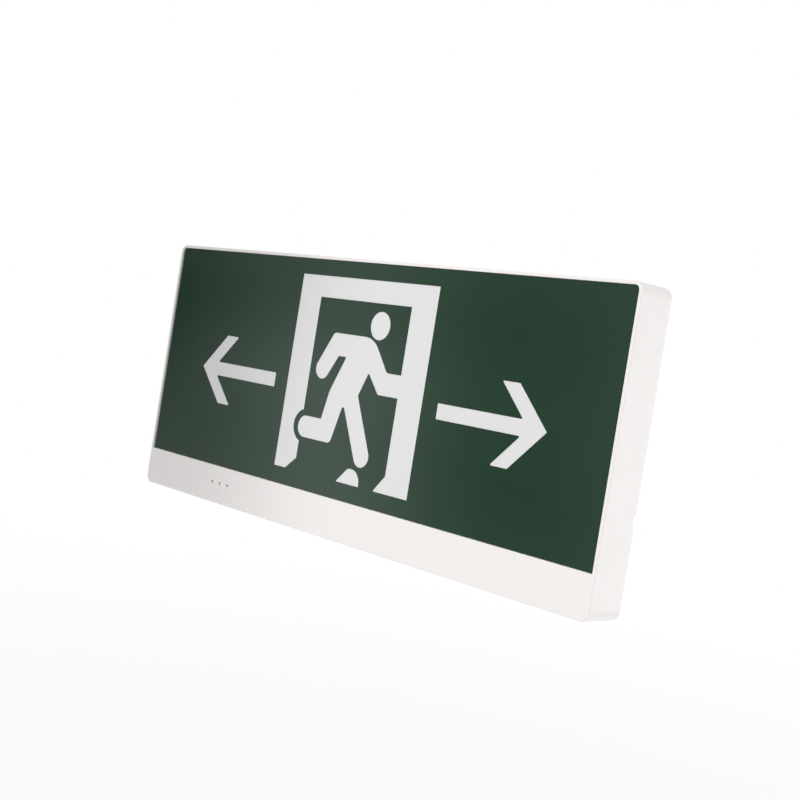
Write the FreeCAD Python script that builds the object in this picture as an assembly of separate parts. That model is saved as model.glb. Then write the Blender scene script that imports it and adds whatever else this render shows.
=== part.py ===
import FreeCAD
import Part

import math
import os

# Wall-mounted emergency exit light with a running-figure legend, lit from the bottom edge.
# Millimetres. X runs along the sign, Y from the front (-) to the wall (+), Z is up.
# The origin is the centre of the back, on the face that meets the wall.

# ---------------------------------------------------------------- how pieces are cut and joined
past = 1.0                   # how far a cutter runs past what it cuts
root = 0.5                   # how far a raised feature runs into what it stands on
arc_gap = 0.01               # least straight run left between two arcs
tiny = 1e-4                  # lengths closer than this are the same

# ---------------------------------------------------------------- housing
housing_width = 360.0
housing_height = 153.0
housing_depth = 23.0
corner_radius = 5.0          # the four corners seen from the front
edge_radius = 0.6            # the cover's front edges
cover_wall = 2.2
side_rim = 1.9               # cover left showing beside the panel
top_rim = 1.7
bar_height = 22.0            # plain strip under the panel
wall_relief = 0.5            # the cover's rear edge stays off the wall
pry_notch_width = 6.0
pry_notch_depth = 1.2
pry_notch_height = 46.0      # above the underside

# ---------------------------------------------------------------- sign panel and light box
panel_recess = 1.0           # how far the legend lies behind the cover's front
cover_pilot_floor = 0.4      # left between a screw's hole and the bar
film_thickness = 0.2
film_margin = 0.1
panel_thickness = 1.0
panel_clearance = 0.1
panel_corner_radius = 2.6
ledge_width = 3.0
ledge_thickness = 1.0
ledge_drop = 2.0             # ledge left standing behind the top of the bar
diffuser_thickness = 0.5
guide_thickness = 3.0
reflector_thickness = 0.4
backing_thickness = 0.6
stack_clearance = 1.0
stack_overhang = 1.4         # how far the light guide reaches below the panel

# ---------------------------------------------------------------- legend
legend_margin = 9.7          # green below the legend
legend_top_margin = 9.1
legend_shift = -1.1          # the door's middle, beside the sign's
arrow_length = 72.6
arrow_height = 41.4
arrow_stroke = 8.2
arrow_gap = 11.1             # between the door and the arrow's tail
arrow_centre_z = 57.6        # above the panel's bottom edge
arrow_corner = 0.5

# ---------------------------------------------------------------- lamp strip
strip_end_gap = 7.8          # between the strip's ends and the cover's side walls
lamp_end_inset = 9.0
strip_thickness = 1.0
strip_gap = 0.3              # between the lamps and the light guide
strip_side_gap = 0.1         # between the strip and what is before and behind it
strip_rib_gap = 0.3          # between a rib and the indicator board's plane
lamp_count = 24
lamp_length = 3.5
lamp_width = 2.8
lamp_height = 0.8
strip_rib_count = 9
strip_rib_thickness = 1.2
strip_rib_height = 3.0
strip_rib_inset = 5.0

# ---------------------------------------------------------------- backing plate and its fixings
backing_overhang = 1.0       # how far the plate reaches below the lamp strip
tab_width = 14.0
tab_corner = 2.0
tab_drop = 9.0
tab_side_inset = 30.0        # outer tabs from the ends of the housing
tab_middle_offset = 25.0     # inner tabs from the middle
tab_screw_drop = 5.5
boss_radius = 3.0
screw_shank_radius = 0.95
screw_pilot_clearance = 0.05
screw_clearance = 0.25       # round a shank or a head
screw_head_radius = 2.2
screw_head_height = 1.4
screw_recess = 0.7
screw_slot_width = 0.7
screw_bite = 4.0             # thread length in a boss
backing_barb_width = 12.0
backing_barb_reach = 1.2
backing_barb_length = 2.0
backing_barb_count = 5
backing_barb_inset = 40.0

# ---------------------------------------------------------------- rear base
base_thickness = 2.2
pilot_floor = 1.4            # base left under the end of a pilot hole
screw_tip_gap = 0.2
base_clearance = 0.3
rim_wall = 1.6
rim_height = 5.8
rib_thickness = 1.2
rib_height = 2.0
rib_gap = 6.0                # between the long ribs and what is beside them
rib_end_gap = 0.3            # how far a rib's ends run into the rim
back_pocket_depth = 0.8
back_border = 7.0
back_rib = 4.0
back_pocket_columns = 4
back_pocket_rows = 2
island_border = 2.0          # back face left round a keyhole's pad
island_radius = 11.0
pocket_radius = 2.0
hook_width = 12.0
hook_reach = 0.9
hook_height = 3.2
hook_thickness = 1.5
hook_count = 3
hook_inset = 70.0
hook_relief = 0.2
hook_barb_share = 0.55       # where the barb's catch is, along the hook
hook_lead_in = 0.2           # the tip's set-back, to start it under the cover's wall
pry_tab_reach = 0.9

# ---------------------------------------------------------------- wall fixings and cable entry
keyhole_spacing = 240.0
keyhole_height = 20.0        # entry centre above the middle of the sign
keyhole_entry_radius = 4.5
keyhole_slot_width = 4.5
keyhole_slot_rise = 8.0
keyhole_pad_radius = 8.0
keyhole_pad_height = 0.8
cable_entry_x = -34.0
cable_entry_z = 16.0
grommet_hole_radius = 7.0
grommet_bore_radius = 3.75
grommet_flange = 2.0         # thickness of the flange on the inside
grommet_reach = 2.0          # flange beyond the hole in the base
grommet_chamfer = 0.8

# ---------------------------------------------------------------- control board
board_width = 96.0
board_height = 46.0
board_thickness = 1.6
board_corner = 1.5
board_left = 4.0
board_bottom = -44.0
board_standoff = 2.0
standoff_radius = 3.0
standoff_inset = 4.0

# ---------------------------------------------------------------- what the board carries
# Places are from the board's lower left corner; sizes are along X, off the board and along Z.
transformer_place = (44.0, 25.0)     # its middle
transformer_core_size = (17.0, 5.6, 15.0)
transformer_leg = 4.6
transformer_window = (3.6, 10.0)
transformer_height = 8.4
coil_clearance = 0.2
coil_corner = 1.6
capacitor_radius = 4.0
capacitor_length = 14.0
capacitor_lip = 0.5          # rolled edge of the can at its seal
capacitor_seal_step = 0.8    # the seal's edge inside the can's
capacitor_crimp = (2.0, 2.5, 3.1, 3.6)  # the crimp groove's ends and floor along the can
capacitor_crimp_depth = 0.45
capacitor_nose = 0.4         # bevel of the closed end
capacitor_places = ((66.0, 14.0), (66.0, 23.2))
film_capacitor_place = (12.0, 34.0)
film_capacitor_size = (13.5, 8.0, 6.0)
film_capacitor_corner = 0.8
rectifier_place = (12.0, 20.0)
rectifier_size = (8.5, 2.6, 6.5)
rectifier_chamfer = 0.6
fuse_place = (9.0, 12.0)             # its left end, on its axis
fuse_radius = 2.6
fuse_length = 20.0
fuse_cap_length = 5.0
fuse_cap_wall = 0.2
fuse_lift = 1.0
fuse_clip_thickness = 0.5
fuse_clip_width = 4.0
fuse_clip_foot = 3.2
chip_places = ((35.0, 8.5), (60.0, 34.0))
chip_size = (5.0, 1.5, 4.0)
chip_lift = 0.1
chip_lead_pitch = 1.27
chip_lead_width = 0.4
chip_lead_reach = 1.0
chip_lead_thickness = 0.25
choke_place = (33.0, 37.5)           # its middle
choke_radius = 4.0
choke_waist_radius = 3.3
choke_height = 7.0
choke_flange = 1.0
connector_size = (7.5, 6.0, 5.8)
connector_wall = 0.7
connector_inset = 0.2                # above the board's lower edge
connector_places = (30.0, 44.0, board_width - 20.0)
pin_spacing = 2.5
pin_width = 0.6
plug_clearance = 0.1
plug_reach = 3.5
plug_insertion = 4.4
lead_radius = 0.7
lead_arc_share = 0.45                # part of a run that each of its end arcs may take

# ---------------------------------------------------------------- battery
cell_diameter = 10.5
cell_length = 44.5
cell_count = 3
sleeve_thickness = 0.3
sleeve_end_depth = 0.6       # how far a cell's end lies inside the sleeve's rolled end
sleeve_end_lap = 0.8         # how far the sleeve laps over a cell's end
battery_x = -82.0
battery_z = -24.0
cradle_wall = 1.4
cradle_height = 6.0
cradle_clearance = 0.3
cradle_corner = 9.0
cradle_outer_radius = 1.0

# ---------------------------------------------------------------- terminal block
terminal_ways = 3
terminal_pitch = 9.0
terminal_depth = 14.0
terminal_rise = 11.0
terminal_x = -34.0
terminal_z = -16.0
terminal_screw_radius = 1.9
terminal_wire_radius = 1.6
terminal_foot_rise = 6.0     # height of the foot between the towers
terminal_wire_rise = 4.2     # middle of the wire holes above the base
terminal_tower_gap = 1.8
terminal_screw_height = 2.4
terminal_well_clearance = 0.1
terminal_web = 0.3           # between a wire hole and its screw well

# ---------------------------------------------------------------- indicators and test button
indicator_pitch = 7.65
indicator_side_inset = 77.9  # middle indicator from the left end of the housing
indicator_drop = 9.9         # below the panel's bottom edge
indicator_hole_radius = 0.8
light_pipe_clearance = 0.05
light_pipe_recess = 0.6
light_pipe_bridge = 1.0
light_pipe_corner = 1.0
indicator_board_thickness = 1.2
indicator_board_corner = 0.8
indicator_board_before = 17.95  # board left of the middle indicator
indicator_board_after = 37.05
indicator_board_screw_inset = 3.5
indicator_screw_bite = 2.6
indicator_board_top_gap = 2.0
indicator_board_lift = 2.8   # above the bottom wall's inner face
indicator_board_offset = 3.5
indicator_lamp_size = (2.0, 0.8, 1.25)
indicator_lamp_gap = 0.2
button_offset = 25.05        # to the right of the middle indicator
button_radius = 2.5
button_clearance = 0.2
button_recess = 0.3
button_edge = 0.3
button_travel = 1.0
button_flange_radius = 3.7
button_flange_height = 1.0
button_flange_gap = 0.05
button_stem_radius = 1.5
switch_width = 6.0
switch_height = 3.6
switch_depth = 3.5
switch_lift = 3.5
plunger_radius = 1.2
plunger_reach = 1.5
plunger_clearance = 0.1
plunger_engagement = 1.4
plunger_overtravel = 0.4

# ---------------------------------------------------------------- sizes worked out from those above
def spread(count, span):
    """Evenly spaced places from -span/2 to span/2."""
    return [span * (i / (count - 1) - 0.5) for i in range(count)]


half_width = housing_width / 2
half_height = housing_height / 2
front_y = -housing_depth
cover_rear_y = -wall_relief
inner_half_width = half_width - cover_wall
inner_half_height = half_height - cover_wall
inner_corner_radius = corner_radius - cover_wall

panel_width = housing_width - 2 * (side_rim + panel_clearance)
panel_bottom_z = -half_height + bar_height
panel_top_z = half_height - top_rim
legend_height = panel_top_z - panel_bottom_z - legend_margin - legend_top_margin
film_front_y = front_y + panel_recess
panel_front_y = film_front_y + film_thickness
panel_rear_y = panel_front_y + panel_thickness
ledge_rear_y = panel_rear_y + ledge_thickness
bar_inner_y = front_y + cover_wall
diffuser_rear_y = ledge_rear_y + diffuser_thickness
guide_rear_y = diffuser_rear_y + guide_thickness
reflector_rear_y = guide_rear_y + reflector_thickness
backing_rear_y = reflector_rear_y + backing_thickness
guide_middle_y = (diffuser_rear_y + guide_rear_y) / 2

stack_half_width = inner_half_width - stack_clearance
stack_top_z = inner_half_height - stack_clearance
stack_bottom_z = panel_bottom_z - stack_overhang
backing_top_z = inner_half_height - base_clearance
strip_top_z = stack_bottom_z - strip_gap - lamp_height
strip_bottom_z = strip_top_z - strip_thickness
backing_bottom_z = strip_bottom_z - backing_overhang
tab_screw_z = backing_bottom_z - tab_screw_drop
tab_bottom_z = backing_bottom_z - tab_drop
strip_length = 2 * (inner_half_width - strip_end_gap)
tab_side_x = half_width - tab_side_inset
tab_xs = (-tab_side_x, -tab_middle_offset, tab_middle_offset, tab_side_x)
backing_barb_xs = spread(backing_barb_count, housing_width - 2 * backing_barb_inset)
hook_xs = spread(hook_count, housing_width - 2 * hook_inset)
pilot_radius = screw_shank_radius + screw_pilot_clearance
through_hole_radius = screw_shank_radius + screw_clearance

base_half_width = inner_half_width - base_clearance
base_half_height = inner_half_height - base_clearance
base_corner_radius = inner_corner_radius - base_clearance
base_inner_y = -base_thickness
rim_front_y = base_inner_y - rim_height

board_rear_y = base_inner_y - board_standoff
board_front_y = board_rear_y - board_thickness
board_right = board_left + board_width
board_top = board_bottom + board_height

indicator_z = panel_bottom_z - indicator_drop
bar_floor_z = -inner_half_height
indicator_board_front_y = bar_inner_y + indicator_board_offset
indicator_board_rear_y = indicator_board_front_y + indicator_board_thickness
indicator_board_bottom = bar_floor_z + indicator_board_lift
indicator_board_top = strip_bottom_z - indicator_board_top_gap
indicator_middle_x = indicator_side_inset - half_width
indicator_board_left = indicator_middle_x - indicator_board_before
indicator_board_right = indicator_middle_x + indicator_board_after
indicator_xs = [indicator_middle_x + step * indicator_pitch for step in (-1, 0, 1)]
indicator_screw_xs = (
    indicator_board_left + indicator_board_screw_inset,
    indicator_board_right - indicator_board_screw_inset,
)
indicator_screw_z = (indicator_board_bottom + indicator_board_top) / 2

button_x = indicator_middle_x + button_offset
switch_bottom_z = bar_floor_z + switch_lift
switch_top_z = switch_bottom_z + switch_height
button_y = indicator_board_rear_y + switch_depth / 2
button_flange_top_z = bar_floor_z + button_flange_gap + button_flange_height
plunger_tip_z = switch_bottom_z - plunger_reach


# ---------------------------------------------------------------- drawing helpers
def vec(x, y, z):
    return FreeCAD.Vector(x, y, z)


def block(x0, x1, y0, y1, z0, z1):
    """A box between two corners."""
    return Part.makeBox(x1 - x0, y1 - y0, z1 - z0, vec(x0, y0, z0))


def rod_y(x, z, radius, y0, y1):
    """A round rod along Y."""
    return Part.makeCylinder(radius, y1 - y0, vec(x, y0, z), vec(0, 1, 0))


def rod_z(x, y, radius, z0, z1):
    """A round rod along Z."""
    return Part.makeCylinder(radius, z1 - z0, vec(x, y, z0), vec(0, 0, 1))


def rod_x(y, z, radius, x0, x1):
    """A round rod along X."""
    return Part.makeCylinder(radius, x1 - x0, vec(x0, y, z), vec(1, 0, 0))


def rounded_wire(corners, place):
    """A closed wire through corners (u, v, radius): straight runs joined by tangent arcs.

    place(u, v) gives the point in space.
    """
    runs = []
    arcs = []
    count = len(corners)
    for i in range(count):
        before = corners[i - 1]
        here = corners[i]
        after = corners[(i + 1) % count]
        a = (before[0] - here[0], before[1] - here[1])
        b = (after[0] - here[0], after[1] - here[1])
        la = math.hypot(*a)
        lb = math.hypot(*b)
        a = (a[0] / la, a[1] / la)
        b = (b[0] / lb, b[1] / lb)
        half = math.acos(max(-1.0, min(1.0, a[0] * b[0] + a[1] * b[1]))) / 2
        radius = here[2]
        if radius <= 0:
            arcs.append((here[:2], None, here[:2]))
            continue
        reach = radius / math.tan(half)
        start = (here[0] + a[0] * reach, here[1] + a[1] * reach)
        end = (here[0] + b[0] * reach, here[1] + b[1] * reach)
        middle = ((a[0] + b[0]) / 2, (a[1] + b[1]) / 2)
        length = math.hypot(*middle)
        depth = radius / math.sin(half) - radius
        crown = (here[0] + middle[0] / length * depth, here[1] + middle[1] / length * depth)
        arcs.append((start, crown, end))
    for i in range(count):
        start, crown, end = arcs[i]
        if crown is not None:
            runs.append(Part.Arc(place(*start), place(*crown), place(*end)).toShape())
        following = arcs[(i + 1) % count][0]
        if math.hypot(following[0] - end[0], following[1] - end[1]) > tiny:
            runs.append(Part.LineSegment(place(*end), place(*following)).toShape())
    return Part.Wire(runs)


def slab(corners, y0, y1):
    """The outline (x, z, radius) filled between two depths."""
    face = Part.Face(rounded_wire(corners, lambda u, v: vec(u, y0, v)))
    return face.extrude(vec(0, y1 - y0, 0))


def bar_x(corners, x0, x1):
    """The section (y, z, radius) drawn out along X."""
    face = Part.Face(rounded_wire(corners, lambda u, v: vec(x0, u, v)))
    return face.extrude(vec(x1 - x0, 0, 0))


def rectangle(x0, x1, z0, z1, radius=0.0):
    """The corners of a rectangle with equal corner radii."""
    return [(x0, z0, radius), (x1, z0, radius), (x1, z1, radius), (x0, z1, radius)]


def centred(half_x, half_z, radius=0.0):
    return rectangle(-half_x, half_x, -half_z, half_z, radius)


def joined(shapes):
    """Several solids fused to one."""
    result = shapes[0]
    if len(shapes) > 1:
        result = result.fuse(shapes[1:])
    return result.removeSplitter()


def screw(x, z, seat_y, tip_y):
    """A slotted screw along Y; its head bears on seat_y, away from the tip."""
    sense = 1 if seat_y > tip_y else -1
    top = seat_y + sense * screw_head_height
    shank = rod_y(x, z, screw_shank_radius, min(seat_y, tip_y), max(seat_y, tip_y))
    head = rod_y(x, z, screw_head_radius, min(seat_y, top), max(seat_y, top))
    floor = top - sense * screw_recess
    slot = block(
        x - screw_head_radius,
        x + screw_head_radius,
        min(floor, top + sense),
        max(floor, top + sense),
        z - screw_slot_width / 2,
        z + screw_slot_width / 2,
    )
    return joined([shank, head]).cut(slot)


# ---------------------------------------------------------------- legend
# The door and the figure are drawn on a grid: X from the middle of the sign and Z from the foot of
# the door, both in hundredths of the door's height.
def on_sign(corners):
    """Corners (x, z, radius) of the grid, placed on the sign."""
    unit = legend_height / 100
    foot = panel_bottom_z + legend_margin
    return [(legend_shift + x * unit, foot + z * unit, r * unit) for x, z, r in corners]


DOOR_LEFT = -48.9
DOOR_RIGHT = 51.0
DOOR_TOP = 100


def door_frame():
    """Three sides of a door, each foot cut off along the light from the doorway."""
    inner_left = -32.2
    inner_right = 34.2
    inner_top = 89.1
    return [
        (DOOR_LEFT, DOOR_TOP, 0),
        (DOOR_RIGHT, DOOR_TOP, 0),
        (DOOR_RIGHT, 0, 0),
        (27.1, 0, 0.36),
        (inner_right, 8.3, 0.36),
        (inner_right, inner_top, 0),
        (inner_left, inner_top, 0),
        (inner_left, 6.3, 0.36),
        (-39.8, 0, 0.36),
        (DOOR_LEFT, 0, 0),
    ]


def running_figure():
    """Trunk, arms and legs of the running figure, without the head."""
    return [
        (-17.7, 72.2, 2.7),      # rear shoulder
        (11.9, 72.2, 12.7),      # front shoulder
        (24.3, 56.5, 2.7),       # inside of the front elbow
        (36.2, 56.5, 0),         # the front hand runs into the door post
        (36.2, 45.5, 0),
        (20.2, 45.5, 2.3),       # point of the front elbow
        (11.8, 55.0, 0.5),       # front armpit
        (6.7, 43.3, 1.4),        # front of the hip
        (22.8, 12.5, 5.3),       # front foot
        (13.2, 7.5, 5.3),
        (-3.0, 37.8, 0.9),       # crotch
        (-8.6, 17.5, 2.7),       # rear knee
        (-34.9, 17.5, 5.48),     # rear foot
        (-34.9, 28.5, 5.48),
        (-18.1, 28.5, 0.5),      # back of the rear knee
        (-14.8, 43.1, 10.9),     # seat
        (-6.3, 60.9, 0.5),       # rear armpit
        (-11.8, 60.9, 0.5),
        (-20.9, 46.4, 5.0),      # rear hand
        (-29.7, 51.8, 5.0),
    ]


def figure_head():
    return 14.8, 78.3, 6.92


def heel_clearance():
    """Green ring left round the rear foot where it crosses the door post."""
    return -29.9, 23.3, 8.33


def floor_shadow():
    return [(0, 0, 0.3), (16.9, 0, 0.3), (16.9, 7.8, 6.8), (7.7, 7.8, 3.6)]


def arrow(side):
    """A plain arrow beside the door: a straight shaft and two splayed barbs, pointing outwards."""
    half = arrow_height / 2
    reach = arrow_length / 2
    stroke = arrow_stroke / 2
    slant = arrow_stroke * math.sqrt(2)
    post_x = on_sign([(DOOR_LEFT if side < 0 else DOOR_RIGHT, 0, 0)])[0][0]
    middle_x = post_x + side * (arrow_gap + arrow_length / 2)
    corners = [
        (reach, 0),
        (reach - half, half),
        (reach - half - slant, half),
        (reach - stroke - slant, stroke),
        (-reach, stroke),
        (-reach, -stroke),
        (reach - stroke - slant, -stroke),
        (reach - half - slant, -half),
        (reach - half, -half),
    ]
    middle_z = panel_bottom_z + arrow_centre_z
    return [(middle_x + side * x, middle_z + z, arrow_corner) for x, z in corners]


def disc(circle, y0, y1):
    """A circle (x, z, radius) of the grid filled between two depths."""
    x, z, radius = on_sign([circle])[0]
    return rod_y(x, z, radius, y0, y1)


def legend_cutter(y0, y1):
    """Everything on the sign that shows white."""
    frame = slab(on_sign(door_frame()), y0, y1).cut(disc(heel_clearance(), y0, y1))
    figure = slab(on_sign(running_figure()), y0, y1)
    head = disc(figure_head(), y0, y1)
    shadow = slab(on_sign(floor_shadow()), y0, y1)
    arrows = [slab(arrow(side), y0, y1) for side in (-1, 1)]
    return joined([frame, figure, head, shadow] + arrows)


def legend_film():
    """Green film with the legend cut out of it, laid on the opal panel."""
    plate = slab(panel_outline(film_margin, panel_corner_radius), film_front_y, panel_front_y)
    return plate.cut(legend_cutter(film_front_y - past, panel_front_y + past))


# ---------------------------------------------------------------- panel and light box
def panel_outline(inset, top_radius):
    """The sign panel's outline, drawn in by an inset; only its top corners are rounded."""
    x = panel_width / 2 - inset
    z0 = panel_bottom_z + panel_clearance + inset
    z1 = panel_top_z - panel_clearance - inset
    return [(-x, z0, 0), (x, z0, 0), (x, z1, top_radius), (-x, z1, top_radius)]


def face_panel():
    return slab(panel_outline(0, panel_corner_radius), panel_front_y, panel_rear_y)


def sheet(y0, y1, inset=0.0):
    """One layer of the light box, all of one outline."""
    x = stack_half_width - inset
    corners = rectangle(-x, x, stack_bottom_z + inset, stack_top_z - inset, inner_corner_radius)
    return slab(corners, y0, y1)


def diffuser_sheet():
    return sheet(ledge_rear_y, diffuser_rear_y)


def light_guide():
    return sheet(diffuser_rear_y, guide_rear_y)


def reflector_sheet():
    return sheet(guide_rear_y, reflector_rear_y)


def backing_plate():
    """Thin steel plate that holds the light box in the cover, with four screw tabs."""
    x = base_half_width
    body = slab(
        rectangle(-x, x, backing_bottom_z, backing_top_z, inner_corner_radius - base_clearance),
        reflector_rear_y,
        backing_rear_y,
    )
    tabs = []
    holes = []
    for tab_x in tab_xs:
        half = tab_width / 2
        top = backing_bottom_z + tab_corner + past
        corners = rectangle(tab_x - half, tab_x + half, tab_bottom_z, top, tab_corner)
        tabs.append(slab(corners, reflector_rear_y, backing_rear_y))
        y0 = reflector_rear_y - past
        y1 = backing_rear_y + past
        holes.append(rod_y(tab_x, tab_screw_z, through_hole_radius, y0, y1))
    plate = joined([body] + tabs)
    for hole in holes:
        plate = plate.cut(hole)
    return plate


def backing_screws():
    tip = reflector_rear_y - screw_bite
    return [screw(x, tab_screw_z, backing_rear_y, tip) for x in tab_xs]


# ---------------------------------------------------------------- lamp strip
def strip_front_y():
    return bar_inner_y + strip_side_gap


def lamp_strip():
    """The lamps' narrow circuit board, edge up against the light guide."""
    half = strip_length / 2
    rear = reflector_rear_y - strip_side_gap
    return block(-half, half, strip_front_y(), rear, strip_bottom_z, strip_top_z)


def strip_lamps():
    lamps = []
    for x in spread(lamp_count, strip_length - 2 * lamp_end_inset):
        lamps.append(
            block(
                x - lamp_length / 2,
                x + lamp_length / 2,
                guide_middle_y - lamp_width / 2,
                guide_middle_y + lamp_width / 2,
                strip_top_z,
                strip_top_z + lamp_height,
            )
        )
    return lamps


# ---------------------------------------------------------------- front cover
def cover_shell():
    """The moulded tray: rim, panel ledge and bar, open towards the wall."""
    body = slab(centred(half_width, half_height, corner_radius), front_y, cover_rear_y)
    front_edges = [e for e in body.Edges if abs(e.BoundBox.YMax - front_y) < tiny]
    body = body.makeFillet(edge_radius, front_edges)
    inside = slab(
        centred(inner_half_width, inner_half_height, inner_corner_radius), ledge_rear_y, cover_rear_y + 1
    )
    behind_bar = slab(
        rectangle(
            -inner_half_width, inner_half_width, bar_floor_z, panel_bottom_z - ledge_drop, inner_corner_radius
        ),
        bar_inner_y,
        ledge_rear_y + past,
    )
    seat = slab(panel_outline(-panel_clearance, panel_corner_radius), front_y - past, panel_rear_y)
    window = slab(panel_outline(ledge_width, panel_corner_radius), panel_rear_y - past, ledge_rear_y + past)
    for hollow in (inside, behind_bar, seat, window):
        body = body.cut(hollow)
    return body


def backing_barb(x):
    """A wedge under the top wall that snaps behind the backing plate."""
    tip = inner_half_height - backing_barb_reach
    section = [
        (backing_rear_y, inner_half_height + root, 0),
        (backing_rear_y, tip, 0),
        (backing_rear_y + backing_barb_length, inner_half_height, 0),
        (backing_rear_y + backing_barb_length, inner_half_height + root, 0),
    ]
    return bar_x(section, x - backing_barb_width / 2, x + backing_barb_width / 2)


def strip_rib(x):
    """A rib that the lamp strip stands on."""
    half = strip_rib_thickness / 2
    front = bar_inner_y - root
    rear = indicator_board_front_y - strip_rib_gap
    return block(x - half, x + half, front, rear, strip_bottom_z - strip_rib_height, strip_bottom_z)


def cover_boss(x, z, top_y):
    return rod_y(x, z, boss_radius, bar_inner_y - root, top_y)


def cover_pilot(x, z, top_y):
    return rod_y(x, z, pilot_radius, bar_inner_y + cover_pilot_floor, top_y + past)


def pry_notch(side):
    """A small notch in the rear edge of a side wall, for a screwdriver."""
    z = -half_height + pry_notch_height
    x = side * half_width
    half = pry_notch_width / 2
    return block(
        x - cover_wall - past,
        x + cover_wall + past,
        cover_rear_y - pry_notch_depth,
        cover_rear_y + past,
        z - half,
        z + half,
    )


def hook_pocket(x, side):
    """A pocket in the top (1) or bottom (-1) wall that takes a hook of the base."""
    half = hook_width / 2 + hook_relief
    z0 = side * (inner_half_height - past)
    z1 = side * (inner_half_height + hook_reach - base_clearance + hook_relief)
    rear = hook_barb_rear_y() + hook_relief
    front = rim_front_y - hook_height - hook_relief
    return block(x - half, x + half, front, rear, min(z0, z1), max(z0, z1))


def front_cover():
    cover = cover_shell()
    added = [backing_barb(x) for x in backing_barb_xs]
    added += [strip_rib(x) for x in spread(strip_rib_count, strip_length - 2 * strip_rib_inset)]
    added += [cover_boss(x, tab_screw_z, reflector_rear_y) for x in tab_xs]
    added += [cover_boss(x, indicator_screw_z, indicator_board_front_y) for x in indicator_screw_xs]
    cover = joined([cover] + added)
    removed = [cover_pilot(x, tab_screw_z, reflector_rear_y) for x in tab_xs]
    removed += [cover_pilot(x, indicator_screw_z, indicator_board_front_y) for x in indicator_screw_xs]
    removed += [pry_notch(side) for side in (-1, 1)]
    removed += [hook_pocket(x, side) for x in hook_xs for side in (-1, 1)]
    y0 = front_y - past
    y1 = bar_inner_y + past
    removed += [rod_y(x, indicator_z, indicator_hole_radius, y0, y1) for x in indicator_xs]
    hole_radius = button_radius + button_clearance
    removed.append(rod_z(button_x, button_y, hole_radius, -half_height - past, bar_floor_z + past))
    return cover.cut(removed)


# ---------------------------------------------------------------- rear base
def keyhole(x, y0, y1):
    """Entry hole with a narrower slot rising from it."""
    half = keyhole_slot_width / 2
    z = keyhole_height
    entry = rod_y(x, z, keyhole_entry_radius, y0, y1)
    slot = block(x - half, x + half, y0, y1, z, z + keyhole_slot_rise)
    end = rod_y(x, z + keyhole_slot_rise, half, y0, y1)
    return joined([entry, slot, end])


def keyhole_xs():
    return (-keyhole_spacing / 2, keyhole_spacing / 2)


def keyhole_pad(x, grow=0.0):
    """Thickened pad round a keyhole."""
    radius = keyhole_pad_radius + grow
    corners = rectangle(
        x - radius,
        x + radius,
        keyhole_height - radius,
        keyhole_height + keyhole_slot_rise + radius,
        radius - arc_gap,
    )
    return corners


def back_pockets():
    """Shallow pockets in the back face, leaving a border, ribs and islands that touch the wall."""
    width = 2 * (base_half_width - back_border)
    height = 2 * (base_half_height - back_border)
    cell_x = (width - back_rib * (back_pocket_columns - 1)) / back_pocket_columns
    cell_z = (height - back_rib * (back_pocket_rows - 1)) / back_pocket_rows
    pockets = []
    for column in range(back_pocket_columns):
        for row in range(back_pocket_rows):
            x = -width / 2 + column * (cell_x + back_rib)
            z = -height / 2 + row * (cell_z + back_rib)
            corners = rectangle(x, x + cell_x, z, z + cell_z, pocket_radius)
            pockets.append(slab(corners, -back_pocket_depth, past))
    result = Part.makeCompound(pockets)
    floor = -back_pocket_depth - past
    islands = [slab(keyhole_pad(x, island_border), floor, 2 * past) for x in keyhole_xs()]
    islands.append(rod_y(cable_entry_x, cable_entry_z, island_radius, floor, 2 * past))
    return result.cut(islands)


def rim():
    """The upstanding wall round the base that the cover slides over."""
    outline = centred(base_half_width, base_half_height, base_corner_radius)
    outer = slab(outline, rim_front_y, base_inner_y + root)
    inner = slab(
        centred(base_half_width - rim_wall, base_half_height - rim_wall, base_corner_radius - rim_wall),
        rim_front_y - past,
        base_inner_y + past,
    )
    return outer.cut(inner)


def hook_barb_rear_y():
    return rim_front_y - hook_height * (1 - hook_barb_share)


def hook(x, side):
    """A springy tongue on the rim with a barb that catches in the cover."""
    face_z = base_half_height
    root_y = rim_front_y + root
    tip_y = rim_front_y - hook_height
    section = [
        (root_y, face_z, 0),
        (hook_barb_rear_y(), face_z, 0),
        (hook_barb_rear_y(), face_z + hook_reach, 0),
        (tip_y, face_z - hook_lead_in, 0),
        (tip_y, face_z - hook_thickness, 0),
        (root_y, face_z - hook_thickness, 0),
    ]
    placed = [(y, side * z, r) for y, z, r in section]
    return bar_x(placed, x - hook_width / 2, x + hook_width / 2)


def pry_tab(side):
    """A small ledge of the base that shows in the cover's pry notch."""
    z = -half_height + pry_notch_height
    half = pry_notch_width / 2 - base_clearance
    inner = side * (base_half_width - past)
    outer = side * (base_half_width + base_clearance + pry_tab_reach)
    front = cover_rear_y - pry_notch_depth + base_clearance
    return block(min(inner, outer), max(inner, outer), front, 0, z - half, z + half)


def battery_size():
    """Length along X, thickness along Y and height along Z of the sleeved pack."""
    along = cell_length + 2 * sleeve_thickness
    thick = cell_diameter + 2 * sleeve_thickness
    high = cell_diameter * cell_count + 2 * sleeve_thickness
    return along, thick, high


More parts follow.
